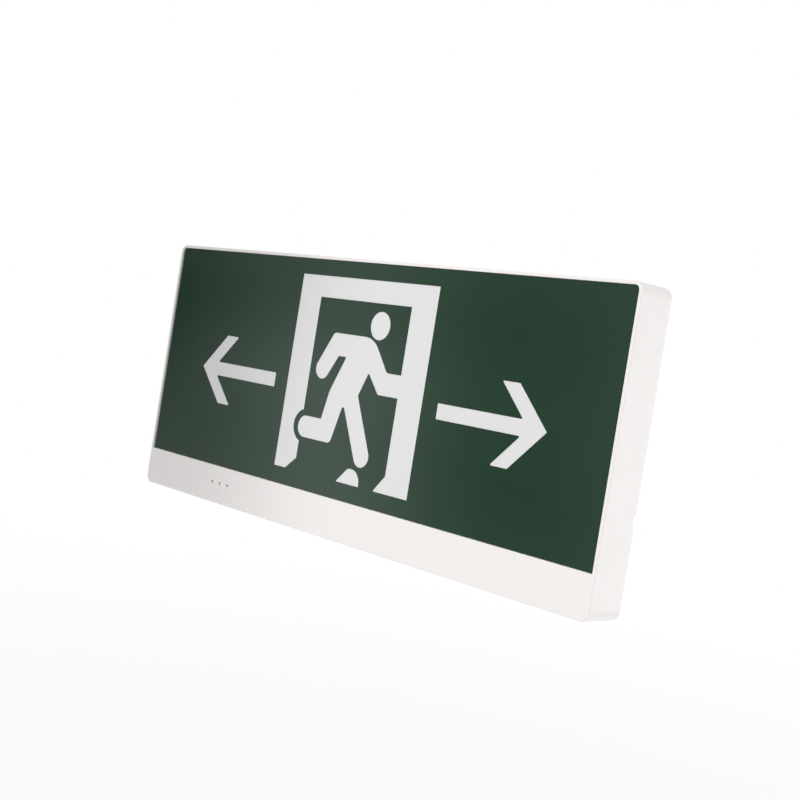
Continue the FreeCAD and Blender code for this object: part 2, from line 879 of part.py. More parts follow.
def cradle():
    """Four corner walls that hold the battery pack on the base."""
    along, thick, high = battery_size()
    inner_x = along / 2 + cradle_clearance
    inner_z = high / 2 + cradle_clearance
    front = base_inner_y - cradle_height
    size = centred(inner_x + cradle_wall, inner_z + cradle_wall, cradle_outer_radius)
    outer = slab(size, front, base_inner_y + root)
    inner = slab(centred(inner_x, inner_z, 0), front - past, base_inner_y + past)
    walls = outer.cut(inner)
    gap_x = block(-inner_x + cradle_corner, inner_x - cradle_corner, front - past, base_inner_y, -high, high)
    half_z = inner_z - cradle_corner
    gap_z = block(-along, along, front - past, base_inner_y, -half_z, half_z)
    walls = walls.cut(gap_x.fuse(gap_z))
    walls.translate(vec(battery_x, 0, battery_z))
    return walls


def standoff_places():
    xs = (board_left + standoff_inset, board_right - standoff_inset)
    zs = (board_bottom + standoff_inset, board_top - standoff_inset)
    return [(x, z) for x in xs for z in zs]


def rear_base():
    plate = slab(centred(base_half_width, base_half_height, base_corner_radius), base_inner_y, 0)
    plate = plate.cut(back_pockets())
    added = [rim(), cradle()]
    added += [hook(x, side) for x in hook_xs for side in (-1, 1)]
    added += [pry_tab(side) for side in (-1, 1)]
    foot = base_inner_y + root
    added += [rod_y(x, z, standoff_radius, board_rear_y, foot) for x, z in standoff_places()]
    added += [slab(keyhole_pad(x), base_inner_y - keyhole_pad_height, foot) for x in keyhole_xs()]
    added += base_ribs()
    base = joined([plate] + added)
    removed = [keyhole(x, base_inner_y - keyhole_pad_height - past, past) for x in keyhole_xs()]
    removed += [rod_y(x, z, pilot_radius, board_rear_y - past, -pilot_floor) for x, z in standoff_places()]
    removed.append(rod_y(cable_entry_x, cable_entry_z, grommet_hole_radius, base_inner_y - past, past))
    removed += [rod_y(x, z, pilot_radius, base_inner_y - past, -pilot_floor) for x, z in terminal_fixings()]
    return base.cut(removed)


def base_ribs():
    """Stiffening ribs on the inside, clear of the circuit board, battery and fixings."""
    half = rib_thickness / 2
    y0 = base_inner_y - rib_height
    y1 = base_inner_y + root
    edge_x = base_half_width - rim_wall + rib_end_gap
    edge_z = base_half_height - rim_wall + rib_end_gap
    upper_z = keyhole_height + keyhole_slot_rise + keyhole_pad_radius + rib_gap
    lower_z = board_bottom - rib_gap
    ribs = [block(-edge_x, edge_x, y0, y1, z - half, z + half) for z in (upper_z, lower_z)]
    for x in tab_xs:
        ribs.append(block(x - half, x + half, y0, y1, upper_z, edge_z))
        ribs.append(block(x - half, x + half, y0, y1, -edge_z, lower_z))
    return ribs


def cable_grommet():
    """Soft grommet: a flange on the inside and a neck through the base, level with the back."""
    x = cable_entry_x
    z = cable_entry_z
    inside = base_inner_y
    top = inside - grommet_flange
    neck = rod_y(x, z, grommet_hole_radius, inside, 0)
    flange = rod_y(x, z, grommet_hole_radius + grommet_reach, top, inside)
    top_edges = [e for e in flange.Edges if e.isClosed() and abs(e.CenterOfMass.y - top) < tiny]
    flange = flange.makeChamfer(grommet_chamfer, top_edges)
    body = joined([neck, flange])
    return body.cut(rod_y(x, z, grommet_bore_radius, top - past, past))


# ---------------------------------------------------------------- control board
def on_board(x0, x1, z0, z1, height, lift=0.0):
    """A block standing on the front of the control board, placed from its lower left corner."""
    y1 = board_front_y - lift
    return block(board_left + x0, board_left + x1, y1 - height, y1, board_bottom + z0, board_bottom + z1)


def component(place, size):
    """A block of a given size standing on the board at a given place."""
    return on_board(place[0], place[0] + size[0], place[1], place[1] + size[2], size[1])


def upright_edges(body):
    """The edges of a block that stand off the board."""
    return [e for e in body.Edges if abs(e.Vertexes[0].Y - e.Vertexes[-1].Y) > 1]


def control_board():
    corners = rectangle(board_left, board_right, board_bottom, board_top, board_corner)
    board = slab(corners, board_front_y, board_rear_y)
    holes = [
        rod_y(x, z, through_hole_radius, board_front_y - past, board_rear_y + past)
        for x, z in standoff_places()
    ]
    return board.cut(holes)


def board_screws():
    tip = -pilot_floor - screw_tip_gap
    return [screw(x, z, board_front_y, tip) for x, z in standoff_places()]


def transformer_window_blocks(y0, y1):
    """The two windows on either side of the core's middle leg."""
    x, z = transformer_place
    x += board_left
    z += board_bottom
    wide, high = transformer_window
    near = transformer_leg / 2
    return [
        block(x + near, x + near + wide, y0, y1, z - high / 2, z + high / 2),
        block(x - near - wide, x - near, y0, y1, z - high / 2, z + high / 2),
    ]


def transformer_core():
    x, z = transformer_place
    wide, deep, high = transformer_core_size
    lift = (transformer_height - deep) / 2
    core = on_board(x - wide / 2, x + wide / 2, z - high / 2, z + high / 2, deep, lift)
    return core.cut(transformer_window_blocks(board_front_y - transformer_height, board_front_y))


def transformer_coil():
    """Wound bobbin round the middle leg, with rounded corners."""
    x, z = transformer_place
    deep = transformer_core_size[1]
    lift = (transformer_height - deep) / 2
    half_x = transformer_leg / 2 + transformer_window[0] - coil_clearance
    half_z = transformer_window[1] / 2 - coil_clearance
    coil = on_board(x - half_x, x + half_x, z - half_z, z + half_z, transformer_height)
    uprights = [
        e for e in coil.Edges if abs(e.Vertexes[0].Z - e.Vertexes[1].Z) > half_z
    ]
    coil = coil.makeFillet(coil_corner, uprights)
    leg = on_board(
        x - transformer_leg / 2, x + transformer_leg / 2, z - half_z - past, z + half_z + past, deep, lift
    )
    return coil.cut(leg)


def capacitor(x, z):
    """An electrolytic can lying along X, with its crimp groove and rolled rim."""
    r = capacitor_radius
    waist = r - capacitor_crimp_depth
    profile = [
        (0, 0, 0),
        (0, r - capacitor_seal_step, 0),
        (capacitor_lip, r - capacitor_lip, 0),
        (capacitor_lip, r, 0),
        (capacitor_crimp[0], r, 0),
        (capacitor_crimp[1], waist, 0),
        (capacitor_crimp[2], waist, 0),
        (capacitor_crimp[3], r, 0),
        (capacitor_length - capacitor_nose, r, 0),
        (capacitor_length, r - capacitor_nose, 0),
        (capacitor_length, 0, 0),
    ]
    centre_y = board_front_y - r
    left = board_left + x
    height = board_bottom + z
    wire = rounded_wire(profile, lambda u, v: vec(left + u, centre_y - v, height))
    return Part.Face(wire).revolve(vec(left, centre_y, height), vec(1, 0, 0), 360)


def electrolytic_capacitors():
    return [capacitor(x, z) for x, z in capacitor_places]


def film_capacitor():
    body = component(film_capacitor_place, film_capacitor_size)
    return body.makeFillet(film_capacitor_corner, upright_edges(body))


def fuse_axis():
    return board_front_y - fuse_lift - fuse_radius, board_bottom + fuse_place[1]


def fuse_tube():
    y, z = fuse_axis()
    left = board_left + fuse_place[0]
    right = left + fuse_length
    return rod_x(y, z, fuse_radius - fuse_cap_wall, left + fuse_cap_wall, right - fuse_cap_wall)


def fuse_caps():
    y, z = fuse_axis()
    caps = []
    left = board_left + fuse_place[0]
    right = left + fuse_length
    for start, end in ((left, left + fuse_cap_length), (right - fuse_cap_length, right)):
        cap = rod_x(y, z, fuse_radius, start, end)
        caps.append(cap.cut(fuse_tube()))
    return caps


def fuse_clip(x):
    """A sprung clip: a floor on the board and two bowed cheeks round the fuse's cap."""
    y, z = fuse_axis()
    half = fuse_clip_width / 2
    outer = fuse_radius + fuse_clip_thickness
    x0 = x - half
    x1 = x + half
    ring = rod_x(y, z, outer, x0, x1).cut(rod_x(y, z, fuse_radius, x0 - past, x1 + past))
    reach = outer + past
    mouth = block(x0 - past, x1 + past, y - reach, y - fuse_radius / 2, z - reach, z + reach)
    foot_z = fuse_clip_foot / 2
    foot_y = y + fuse_radius + fuse_clip_thickness / 4
    foot = block(x0, x1, foot_y, board_front_y, z - foot_z, z + foot_z)
    return joined([ring.cut(mouth), foot])


def fuse_clips():
    left = board_left + fuse_place[0]
    near = fuse_cap_length / 2
    return [fuse_clip(left + near), fuse_clip(left + fuse_length - near)]


def rectifier_bridge():
    """A flat bridge with one corner cut off to mark its plus side."""
    body = component(rectifier_place, rectifier_size)
    return body.makeChamfer(rectifier_chamfer, upright_edges(body)[:1])


def driver_chip(x, z):
    """An eight-lead driver chip with its leads."""
    wide, tall, high = chip_size
    pieces = [on_board(x, x + wide, z, z + high, tall, chip_lift)]
    half = chip_lead_width / 2
    for lead_x in spread(4, 3 * chip_lead_pitch):
        middle = x + wide / 2 + lead_x
        low = z - chip_lead_reach
        top = z + high + chip_lead_reach
        pieces.append(on_board(middle - half, middle + half, low, top, chip_lead_thickness))
    return joined(pieces)


def driver_chips():
    return [driver_chip(x, z) for x, z in chip_places]


def drum_choke():
    """A wound drum between two flanges, standing on the board."""
    x = board_left + choke_place[0]
    z = board_bottom + choke_place[1]
    top_y = board_front_y - choke_height
    low = rod_y(x, z, choke_radius, board_front_y - choke_flange, board_front_y)
    waist = rod_y(x, z, choke_waist_radius, top_y, board_front_y)
    high = rod_y(x, z, choke_radius, top_y, top_y + choke_flange)
    return joined([low, waist, high])


def connector_pins(x, thickness):
    """Two square pins, or with a greater thickness the holes for them."""
    wide, tall, high = connector_size
    half = thickness / 2
    pins = []
    for side in (-1, 1):
        middle = x + (wide + side * pin_spacing) / 2
        x0 = middle - half
        x1 = middle + half
        pins.append(on_board(x0, x1, connector_wall, high, thickness, tall / 2 - half))
    return pins


def board_connector(x):
    """A two-way header at the board's lower edge, open at its lower side, with its two pins."""
    wide, tall, high = connector_size
    wall = connector_wall
    shell = on_board(x, x + wide, connector_inset, connector_inset + high, tall)
    top = connector_inset + high - wall
    hollow = on_board(x + wall, x + wide - wall, -past, top, tall - 2 * wall, wall)
    return joined([shell.cut(hollow)] + connector_pins(x, pin_width))


def board_connectors():
    return [board_connector(x) for x in connector_places]


def connector_middle():
    """Depth of the middle of the connectors."""
    return board_front_y - connector_size[1] / 2


def lead_plug(x):
    """A plug pushed up into a header, with holes for its two pins."""
    wide, tall, high = connector_size
    gap = connector_wall + plug_clearance
    body = on_board(x + gap, x + wide - gap, -plug_reach, plug_insertion, tall - 2 * gap, gap)
    holes = connector_pins(x, pin_width + 2 * plug_clearance)
    for hole in holes:
        hole.translate(vec(0, 0, -plug_clearance))
    return body.cut(holes)


def lead_plugs():
    return [lead_plug(x) for x in connector_places]


# ---------------------------------------------------------------- leads
def lead(points):
    """A round lead through the points: straight runs joined by the largest arcs that they allow."""
    points = [vec(*p) for p in points]
    edges = []
    here = points[0]
    for before, corner, after in zip(points, points[1:], points[2:]):
        a = (before - corner).normalize()
        b = (after - corner).normalize()
        turn = math.pi - a.getAngle(b)
        reach = lead_arc_share * min((before - corner).Length, (after - corner).Length)
        radius = reach / math.tan(turn / 2)
        start = corner + a * reach
        end = corner + b * reach
        crown = corner + (a + b).normalize() * (radius / math.cos(turn / 2) - radius)
        edges.append(Part.LineSegment(here, start).toShape())
        edges.append(Part.Arc(start, crown, end).toShape())
        here = end
    edges.append(Part.LineSegment(here, points[-1]).toShape())
    path = Part.Wire(edges)
    ring = Part.Wire(Part.makeCircle(lead_radius, points[0], points[1] - points[0]))
    return path.makePipeShell([ring], True, False)


def plug_mouth(number):
    """Where a lead leaves its plug, at the plug's lower face."""
    x = board_left + connector_places[number] + connector_size[0] / 2
    return x, connector_middle(), board_bottom - plug_reach


def battery_lead():
    """From the middle cell's end to the first plug."""
    x1, y1, z1 = plug_mouth(0)
    along, thick, high = battery_size()
    x0 = battery_x + along / 2 - sleeve_end_depth
    y0 = base_inner_y - thick / 2
    z0 = battery_z
    return lead(
        [
            (x0, y0, z0),
            (x0 + 11, y0, z0),
            (x0 + 30, y0 - 0.3, z0 - 12),
            (x1 - 34, y1 + 0.3, z1 - 6),
            (x1 - 14, y1, z1 - 12),
            (x1 - 4, y1, z1 - 12.5),
            (x1, y1, z1 - 7.5),
            (x1, y1, z1),
        ]
    )


def indicator_lead():
    """From the second plug along the bottom to the back of the indicator board."""
    x0, y0, z0 = plug_mouth(1)
    x1 = indicator_middle_x + 9.5
    y1 = indicator_board_rear_y
    z1 = indicator_screw_z
    return lead(
        [
            (x0, y0, z0),
            (x0, y0, z0 - 9),
            (x0 - 6, y0, z0 - 16),
            (x0 - 18, y0, z1 + 1.2),
            (x0 - 42, y0, z1 - 0.6),
            (x1 + 70, y0, z1 + 0.8),
            (x1 + 40, y0, z1 - 0.4),
            (x1 + 20, y0, z1 + 0.2),
            (x1 + 4.8, y0, z1),
            (x1 + 1.7, y0 - 1.8, z1),
            (x1, y0 - 4.8, z1),
            (x1, y1, z1),
        ]
    )


def lamp_lead():
    """From the third plug forward under the backing plate to the lamp strip."""
    x0, y0, z0 = plug_mouth(2)
    y1 = guide_middle_y - 0.5
    z1 = strip_bottom_z
    return lead(
        [
            (x0, y0, z0),
            (x0, y0, z0 - 10),
            (x0 + 4, y0 - 2, z0 - 17.5),
            (x0 + 9, y0 - 6, z0 - 19.5),
            (x0 + 12, y1, z1 - 6),
            (x0 + 12, y1, z1),
        ]
    )


# ---------------------------------------------------------------- battery
def battery_pack():
    """Three cells side by side in a shrunk sleeve, with the sleeve's rolled ends."""
    along, thick, high = battery_size()
    y0 = base_inner_y - thick
    round_end = thick / 2 - arc_gap
    section = [
        (y0, battery_z - high / 2, round_end),
        (base_inner_y, battery_z - high / 2, round_end),
        (base_inner_y, battery_z + high / 2, round_end),
        (y0, battery_z + high / 2, round_end),
    ]
    left = battery_x - along / 2
    pack = bar_x(section, left, left + along)
    middle_y = base_inner_y - thick / 2
    for cell in range(cell_count):
        z = battery_z + (cell - (cell_count - 1) / 2) * cell_diameter
        ring = cell_diameter / 2 - sleeve_end_lap
        pack = pack.cut(rod_x(middle_y, z, ring, left - past, left + sleeve_end_depth))
        pack = pack.cut(rod_x(middle_y, z, ring, left + along - sleeve_end_depth, left + along + past))
    return pack


# ---------------------------------------------------------------- terminal block
def terminal_ways_x():
    return [terminal_x + (way - (terminal_ways - 1) / 2) * terminal_pitch for way in range(terminal_ways)]


def terminal_fixings():
    """Two fixing holes, between the ways."""
    half = terminal_pitch / 2
    return [(terminal_x - half, terminal_z), (terminal_x + half, terminal_z)]


def terminal_block():
    """Strip connector: one tower a way, wire holes along Z and screw wells from the front."""
    y1 = base_inner_y
    y0 = y1 - terminal_rise
    half_z = terminal_depth / 2
    tower = (terminal_pitch - terminal_tower_gap) / 2
    ends = terminal_ways_x()
    z0 = terminal_z - half_z
    z1 = terminal_z + half_z
    foot_y = y1 - terminal_foot_rise
    pieces = [block(ends[0] - tower, ends[-1] + tower, foot_y, y1, z0, z1)]
    for x in ends:
        pieces.append(block(x - tower, x + tower, y0, y1, z0, z1))
    body = joined(pieces)
    wire_y = y1 - terminal_wire_rise
    for x in ends:
        body = body.cut(rod_z(x, wire_y, terminal_wire_radius, z0 - past, z1 + past))
        for z in terminal_screw_zs():
            well = terminal_screw_radius + terminal_well_clearance
            body = body.cut(rod_y(x, z, well, y0 - past, terminal_screw_seat()))
    head_well = screw_head_radius + screw_clearance
    for x, z in terminal_fixings():
        body = body.cut(rod_y(x, z, through_hole_radius, y0 - past, y1 + past))
        body = body.cut(rod_y(x, z, head_well, y0 - past, foot_y))
    return body


def terminal_screw_zs():
    return (terminal_z - terminal_depth / 4, terminal_z + terminal_depth / 4)


def terminal_screw_seat():
    return base_inner_y - terminal_wire_rise - terminal_wire_radius - terminal_web


def terminal_screws():
    """Slotted clamping screws, one at each end of each way."""
    screws = []
    for x in terminal_ways_x():
        for z in terminal_screw_zs():
            seat = terminal_screw_seat()
            front = seat - terminal_screw_height
            body = rod_y(x, z, terminal_screw_radius, front, seat)
            reach = terminal_screw_radius
            half = screw_slot_width / 2
            slot = block(x - reach, x + reach, front - past, front + screw_recess, z - half, z + half)
            screws.append(body.cut(slot))
    return screws


def terminal_fixing_screws():
    seat = base_inner_y - terminal_foot_rise
    return [screw(x, z, seat, -pilot_floor - screw_tip_gap) for x, z in terminal_fixings()]


# ---------------------------------------------------------------- indicators
def indicator_board():
    corners = rectangle(
        indicator_board_left,
        indicator_board_right,
        indicator_board_bottom,
        indicator_board_top,
        indicator_board_corner,
    )
    y0 = indicator_board_front_y
    y1 = indicator_board_rear_y
    board = slab(corners, y0, y1)
    z = indicator_screw_z
    holes = [rod_y(x, z, through_hole_radius, y0 - past, y1 + past) for x in indicator_screw_xs]
    return board.cut(holes)


def indicator_screws():
    tip = indicator_board_front_y - indicator_screw_bite
    return [screw(x, indicator_screw_z, indicator_board_rear_y, tip) for x in indicator_screw_xs]


def indicator_lamps():
    wide, tall, high = indicator_lamp_size
    lamps = []
    for x in indicator_xs:
        lamps.append(
            block(
                x - wide / 2,
                x + wide / 2,
                indicator_board_front_y - tall,
                indicator_board_front_y,
                indicator_z - high / 2,
                indicator_z + high / 2,
            )
        )
    return lamps


def light_pipe():
    """Three clear pins on one bridge that carry the indicators' light through the bar."""
    radius = indicator_hole_radius - light_pipe_clearance
    tip = front_y + light_pipe_recess
    rear = indicator_board_front_y - indicator_lamp_size[1] - indicator_lamp_gap
    reach = indicator_hole_radius * 2
    x0 = indicator_xs[0] - reach
    x1 = indicator_xs[-1] + reach
    corners = rectangle(x0, x1, indicator_z - reach, indicator_z + reach, light_pipe_corner)
    bridge = slab(corners, bar_inner_y, bar_inner_y + light_pipe_bridge)
    return joined([bridge] + [rod_y(x, indicator_z, radius, tip, rear) for x in indicator_xs])


# ---------------------------------------------------------------- test switch and button
def test_switch():
    """Switch body on the back of the indicator board, with the plunger's bore opening downwards."""
    y0 = indicator_board_rear_y
    y1 = y0 + switch_depth
    half = switch_width / 2
    body = block(button_x - half, button_x + half, y0, y1, switch_bottom_z, switch_top_z)
    bore_top = switch_bottom_z + plunger_engagement + button_travel + plunger_overtravel
    bore_radius = plunger_radius + plunger_clearance
    return body.cut(rod_z(button_x, button_y, bore_radius, switch_bottom_z - past, bore_top))


def switch_plunger():
    return rod_z(button_x, button_y, plunger_radius, plunger_tip_z, switch_bottom_z + plunger_engagement)


def test_button():
    """Button in the underside: a round cap, a flange that keeps it in, and a stem to the switch."""
    face_z = -half_height + button_recess
    flange_z = button_flange_top_z - button_flange_height
    cap = rod_z(button_x, button_y, button_radius, face_z, button_flange_top_z)
    lower = [e for e in cap.Edges if e.isClosed() and abs(e.CenterOfMass.z - face_z) < tiny]
    cap = cap.makeChamfer(button_edge, lower)
    flange = rod_z(button_x, button_y, button_flange_radius, flange_z, button_flange_top_z)
    stem = rod_z(button_x, button_y, button_stem_radius, button_flange_top_z - root, plunger_tip_z)
    return joined([cap, flange, stem])


# ---------------------------------------------------------------- export
SUB_PARTS = {
    "front_cover": front_cover,
    "rear_base": rear_base,
    "face_panel": face_panel,
    "legend_film": legend_film,
    "diffuser_sheet": diffuser_sheet,
    "light_guide": light_guide,
    "reflector_sheet": reflector_sheet,
    "backing_plate": backing_plate,
    "backing_screws": backing_screws,
    "lamp_strip": lamp_strip,
    "strip_lamps": strip_lamps,
    "cable_grommet": cable_grommet,
    "control_board": control_board,
    "board_screws": board_screws,
    "transformer_core": transformer_core,
    "transformer_coil": transformer_coil,
    "electrolytic_capacitors": electrolytic_capacitors,
    "film_capacitor": film_capacitor,
    "fuse_tube": fuse_tube,
    "fuse_caps": fuse_caps,
    "fuse_clips": fuse_clips,
    "rectifier_bridge": rectifier_bridge,
    "driver_chips": driver_chips,
    "drum_choke": drum_choke,
    "board_connectors": board_connectors,
    "lead_plugs": lead_plugs,
    "battery_lead": battery_lead,
    "indicator_lead": indicator_lead,
    "lamp_lead": lamp_lead,
    "battery_pack": battery_pack,
    "terminal_block": terminal_block,
    "terminal_screws": terminal_screws,
    "terminal_fixing_screws": terminal_fixing_screws,
    "indicator_board": indicator_board,
    "indicator_screws": indicator_screws,
    "indicator_lamps": indicator_lamps,
    "light_pipe": light_pipe,
    "test_switch": test_switch,
    "switch_plunger": switch_plunger,
    "test_button": test_button,
}


def export(name, make):
    shape = make()
    if isinstance(shape, list):
        shape = Part.makeCompound(shape)
    if not shape.isValid():
        raise ValueError(name + " is not a valid shape")
    solids = len(shape.Solids)
    print(name, "solids", solids, "volume", round(shape.Volume, 2))
    shape.exportStep(os.path.join("parts", name + ".step"))


def main():
    os.makedirs("parts", exist_ok=True)
    for name, make in SUB_PARTS.items():
        export(name, make)


if __name__ == "__main__":
    main()
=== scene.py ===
"""The looks of an emergency exit light: its housing, sign face, light box, control gear and studio stage."""

import math

import bpy
import numpy as np
from mathutils import Matrix, Vector


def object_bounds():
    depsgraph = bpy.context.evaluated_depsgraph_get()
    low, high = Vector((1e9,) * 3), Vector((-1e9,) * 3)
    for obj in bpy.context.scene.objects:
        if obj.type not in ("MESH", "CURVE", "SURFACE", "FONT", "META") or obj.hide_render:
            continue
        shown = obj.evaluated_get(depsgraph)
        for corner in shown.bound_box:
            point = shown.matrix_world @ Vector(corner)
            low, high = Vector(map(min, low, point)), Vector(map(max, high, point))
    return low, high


bl_info = {
    "name": "Emergency Exit Light",
    "version": (1, 0, 0),
    "blender": (4, 5, 0),
    "location": "3D View > Sidebar > Exit Light",
    "description": "Finishes the parts of an emergency exit light and sets up its studio stage",
    "category": "Object",
}

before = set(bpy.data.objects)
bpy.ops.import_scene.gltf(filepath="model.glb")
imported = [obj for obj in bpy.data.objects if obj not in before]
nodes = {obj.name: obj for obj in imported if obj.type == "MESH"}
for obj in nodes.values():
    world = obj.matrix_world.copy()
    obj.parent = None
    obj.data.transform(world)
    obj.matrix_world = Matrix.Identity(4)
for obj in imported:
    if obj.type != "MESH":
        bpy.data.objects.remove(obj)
cad_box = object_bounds()

MM = 0.001

# Places in the construction model that patterns line up with
LAMP_PITCH = 14 * MM          # between the lamps on the strip; one lies half a pitch from the middle
LAMP_WINDOW_Y = -17.8 * MM
STRIP_TRACK_Y = -18.4 * MM
CAN_END_X = 83.75 * MM        # past this the capacitors' cans are bare
CAN_AXIS_Y = -9.8 * MM
CAN_FRONT_Y = (-12.0 * MM, -12.4 * MM)
CAN_AXES_Z = (-20.8 * MM, -30.0 * MM)
FUSE_WIRE_Z = -32.0 * MM
BATTERY_MIDDLE_X = -82 * MM

# Pitches of the boards' patterns
TRACK_PITCH = 1.27 * MM
VIA_PITCH = 5.08 * MM
WEAVE_PITCH = 0.6 * MM
WIRE_PITCH = 0.5 * MM         # between the turns of the choke
TAPE_PITCH = 3.2 * MM         # between the laps of the transformer's tape

# The stage, in metres
STAGE_NAME = "studio"
FLOOR_DROP = 0.42             # from the light's lowest point down to the floor
FLOOR_REACH = 9.0
FLOOR_WHITENESS = 0.85        # share of plain white that the eye sees near the light, and 1 further out
FLOOR_FADE = (0.5, 2.5)       # distances from the light over which that share rises
SIGN_MIDDLE = (0.0, -0.02, 0.0)
SIDE_PLACE = (1.2, 1.0, -0.05)
SIDE_SIZE = (0.9, 0.7)
FILL_PLACE = (-0.6, -1.6, 0.8)
FILL_SIZE = (1.4, 1.0)
KEY_PLACE = (0.3, -1.5, 0.75)
KEY_TARGET = (0.242, -0.02, 0.0)
KEY_SPREAD = math.radians(24.0)
KEY_BLEND = 0.4               # share of the beam's width taken by its soft edge
KEY_RADIUS = 0.06
BOUNCE_PLACE = (0.15, 0.05, -0.41)
BOUNCE_TARGET = (0.15, 0.04, 0.0)
BOUNCE_SIZE = (0.9, 0.5)
CAMERA_PLACE = Vector((517.32, -483.98, 24.82)) * MM
CAMERA_FORWARD = (-0.71899, 0.69439, -0.02965)
CAMERA_UP = (-0.13122, -0.09373, 0.98691)
SENSOR_WIDTH = 36.0           # in millimetres, as the lens is

# The glowing card before the sign
CARD_Y = -1.2
CARD_X = (-3.4, 1.6)
CARD_Z = (-0.48, 1.8)
CARD_LEVEL = 0.60
CARD_POOLS = [
    # strength, middle x and z, width, height
    (0.49, -1.394, -0.035, 0.611, 0.116),
    (-0.58, -2.154, 0.0, 0.882, 0.222),
    (-0.69, -1.006, -0.062, 0.315, 0.305),
    (1.06, -1.280, -0.561, 0.295, 0.719),
    (0.11, -0.700, -0.020, 0.048, 0.500),
]
CORNER_X = -1.85              # the dark corner ends at a slanted line through this x and z
CORNER_Z = 0.125
CORNER_SLANT = 0.41
CORNER_SOFTNESS = 0.03
CORNER_FOOT = (-0.075, -0.035)
CORNER_SHADE = 0.55


# ---------------------------------------------------------------- shader maths
def widened(value):
    """A number as a grey colour or an even vector, for nodes that take three parts."""
    if isinstance(value, (int, float)):
        return (value, value, value)
    return value


class Sock:
    """One output in a material's nodes. Used in an expression, it adds the node that works the sum out."""

    def __init__(self, tree, socket):
        self.tree = tree
        self.socket = socket

    def _sum(self, operation, first, second):
        kinds = {part.socket.type for part in (first, second) if isinstance(part, Sock)}
        if "RGBA" in kinds:
            return self.tree.blend(1.0, first, second, operation)
        if "VECTOR" in kinds:
            parts = {0: widened(first), 1: widened(second)}
            return self.tree.node("ShaderNodeVectorMath", {"operation": operation}, parts)
        return self.tree.node("ShaderNodeMath", {"operation": operation}, {0: first, 1: second})

    def __add__(self, other):
        return self._sum("ADD", self, other)

    def __radd__(self, other):
        return self._sum("ADD", other, self)

    def __sub__(self, other):
        return self._sum("SUBTRACT", self, other)

    def __rsub__(self, other):
        return self._sum("SUBTRACT", other, self)

    def __mul__(self, other):
        return self._sum("MULTIPLY", self, other)

    def __rmul__(self, other):
        return self._sum("MULTIPLY", other, self)

    def __truediv__(self, other):
        return self._sum("DIVIDE", self, other)

    def __rtruediv__(self, other):
        return self._sum("DIVIDE", other, self)

    def __gt__(self, edge):
        return self._sum("GREATER_THAN", self, edge)

    def __lt__(self, edge):
        return self._sum("LESS_THAN", self, edge)

    def __abs__(self):
        return self.does("ABSOLUTE")

    def does(self, operation, other=0.0):
        """A Math node's operation on this value, with a second value where it takes one."""
        return self._sum(operation, self, other)

    def between(self, low, high):
        """A soft step from 0 at low to 1 at high, with no corner at either end."""
        inputs = {"Value": self, "From Min": low, "From Max": high}
        return self.tree.node("ShaderNodeMapRange", {"interpolation_type": "SMOOTHSTEP"}, inputs)

    def pick(self, off, on):
        """Goes from off to on as this value goes from 0 to 1, for numbers and colours alike."""
        return self.tree.blend(self, off, on)

    def parts(self):
        """The three parts of a vector."""
        split = self.tree.raw("ShaderNodeSeparateXYZ", {}, {0: self})
        return tuple(Sock(self.tree, output) for output in split.outputs[:3])


class Nodes:
    """A node tree under construction, with one method that adds any kind of node."""

    def __init__(self, owner):
        owner.use_nodes = True
        self.tree = owner.node_tree
        self.tree.nodes.clear()

    def raw(self, kind, settings, inputs):
        """Adds a node: its settings first, then the values or links of its sockets."""
        made = self.tree.nodes.new(kind)
        for key, value in settings.items():
            setattr(made, key, value)
        for key, value in inputs.items():
            target = made.inputs[key]
            if isinstance(value, Sock):
                self.tree.links.new(value.socket, target)
            elif target.type == "RGBA":
                target.default_value = (*widened(value)[:3], 1.0)
            else:
                target.default_value = value
        return made

    def node(self, kind, settings, inputs, output=0):
        """The same, giving one of the node's outputs."""
        return Sock(self, self.raw(kind, settings, inputs).outputs[output])

    def blend(self, factor, first, second, how="MIX"):
        """A Mix node on numbers or on colours, by what it is given."""
        kinds = {part.socket.type for part in (first, second) if isinstance(part, Sock)}
        plain = all(isinstance(part, (int, float, Sock)) for part in (first, second))
        if plain and kinds <= {"VALUE"} and how == "MIX":
            return self.node("ShaderNodeMix", {"data_type": "FLOAT"}, {0: factor, 2: first, 3: second})
        settings = {"data_type": "RGBA", "blend_type": how, "clamp_factor": True}
        return self.node("ShaderNodeMix", settings, {0: factor, 6: first, 7: second}, 2)

    def seen_directly(self):
        """1 for what the eye sees, also mirrored or through glass, and 0 for light that falls on things."""
        path = self.raw("ShaderNodeLightPath", {}, {})
        seen = Sock(self, path.outputs["Is Camera Ray"])
        for kind in ("Is Glossy Ray", "Is Transmission Ray"):
            seen = seen.does("MAXIMUM", Sock(self, path.outputs[kind]))
        return seen


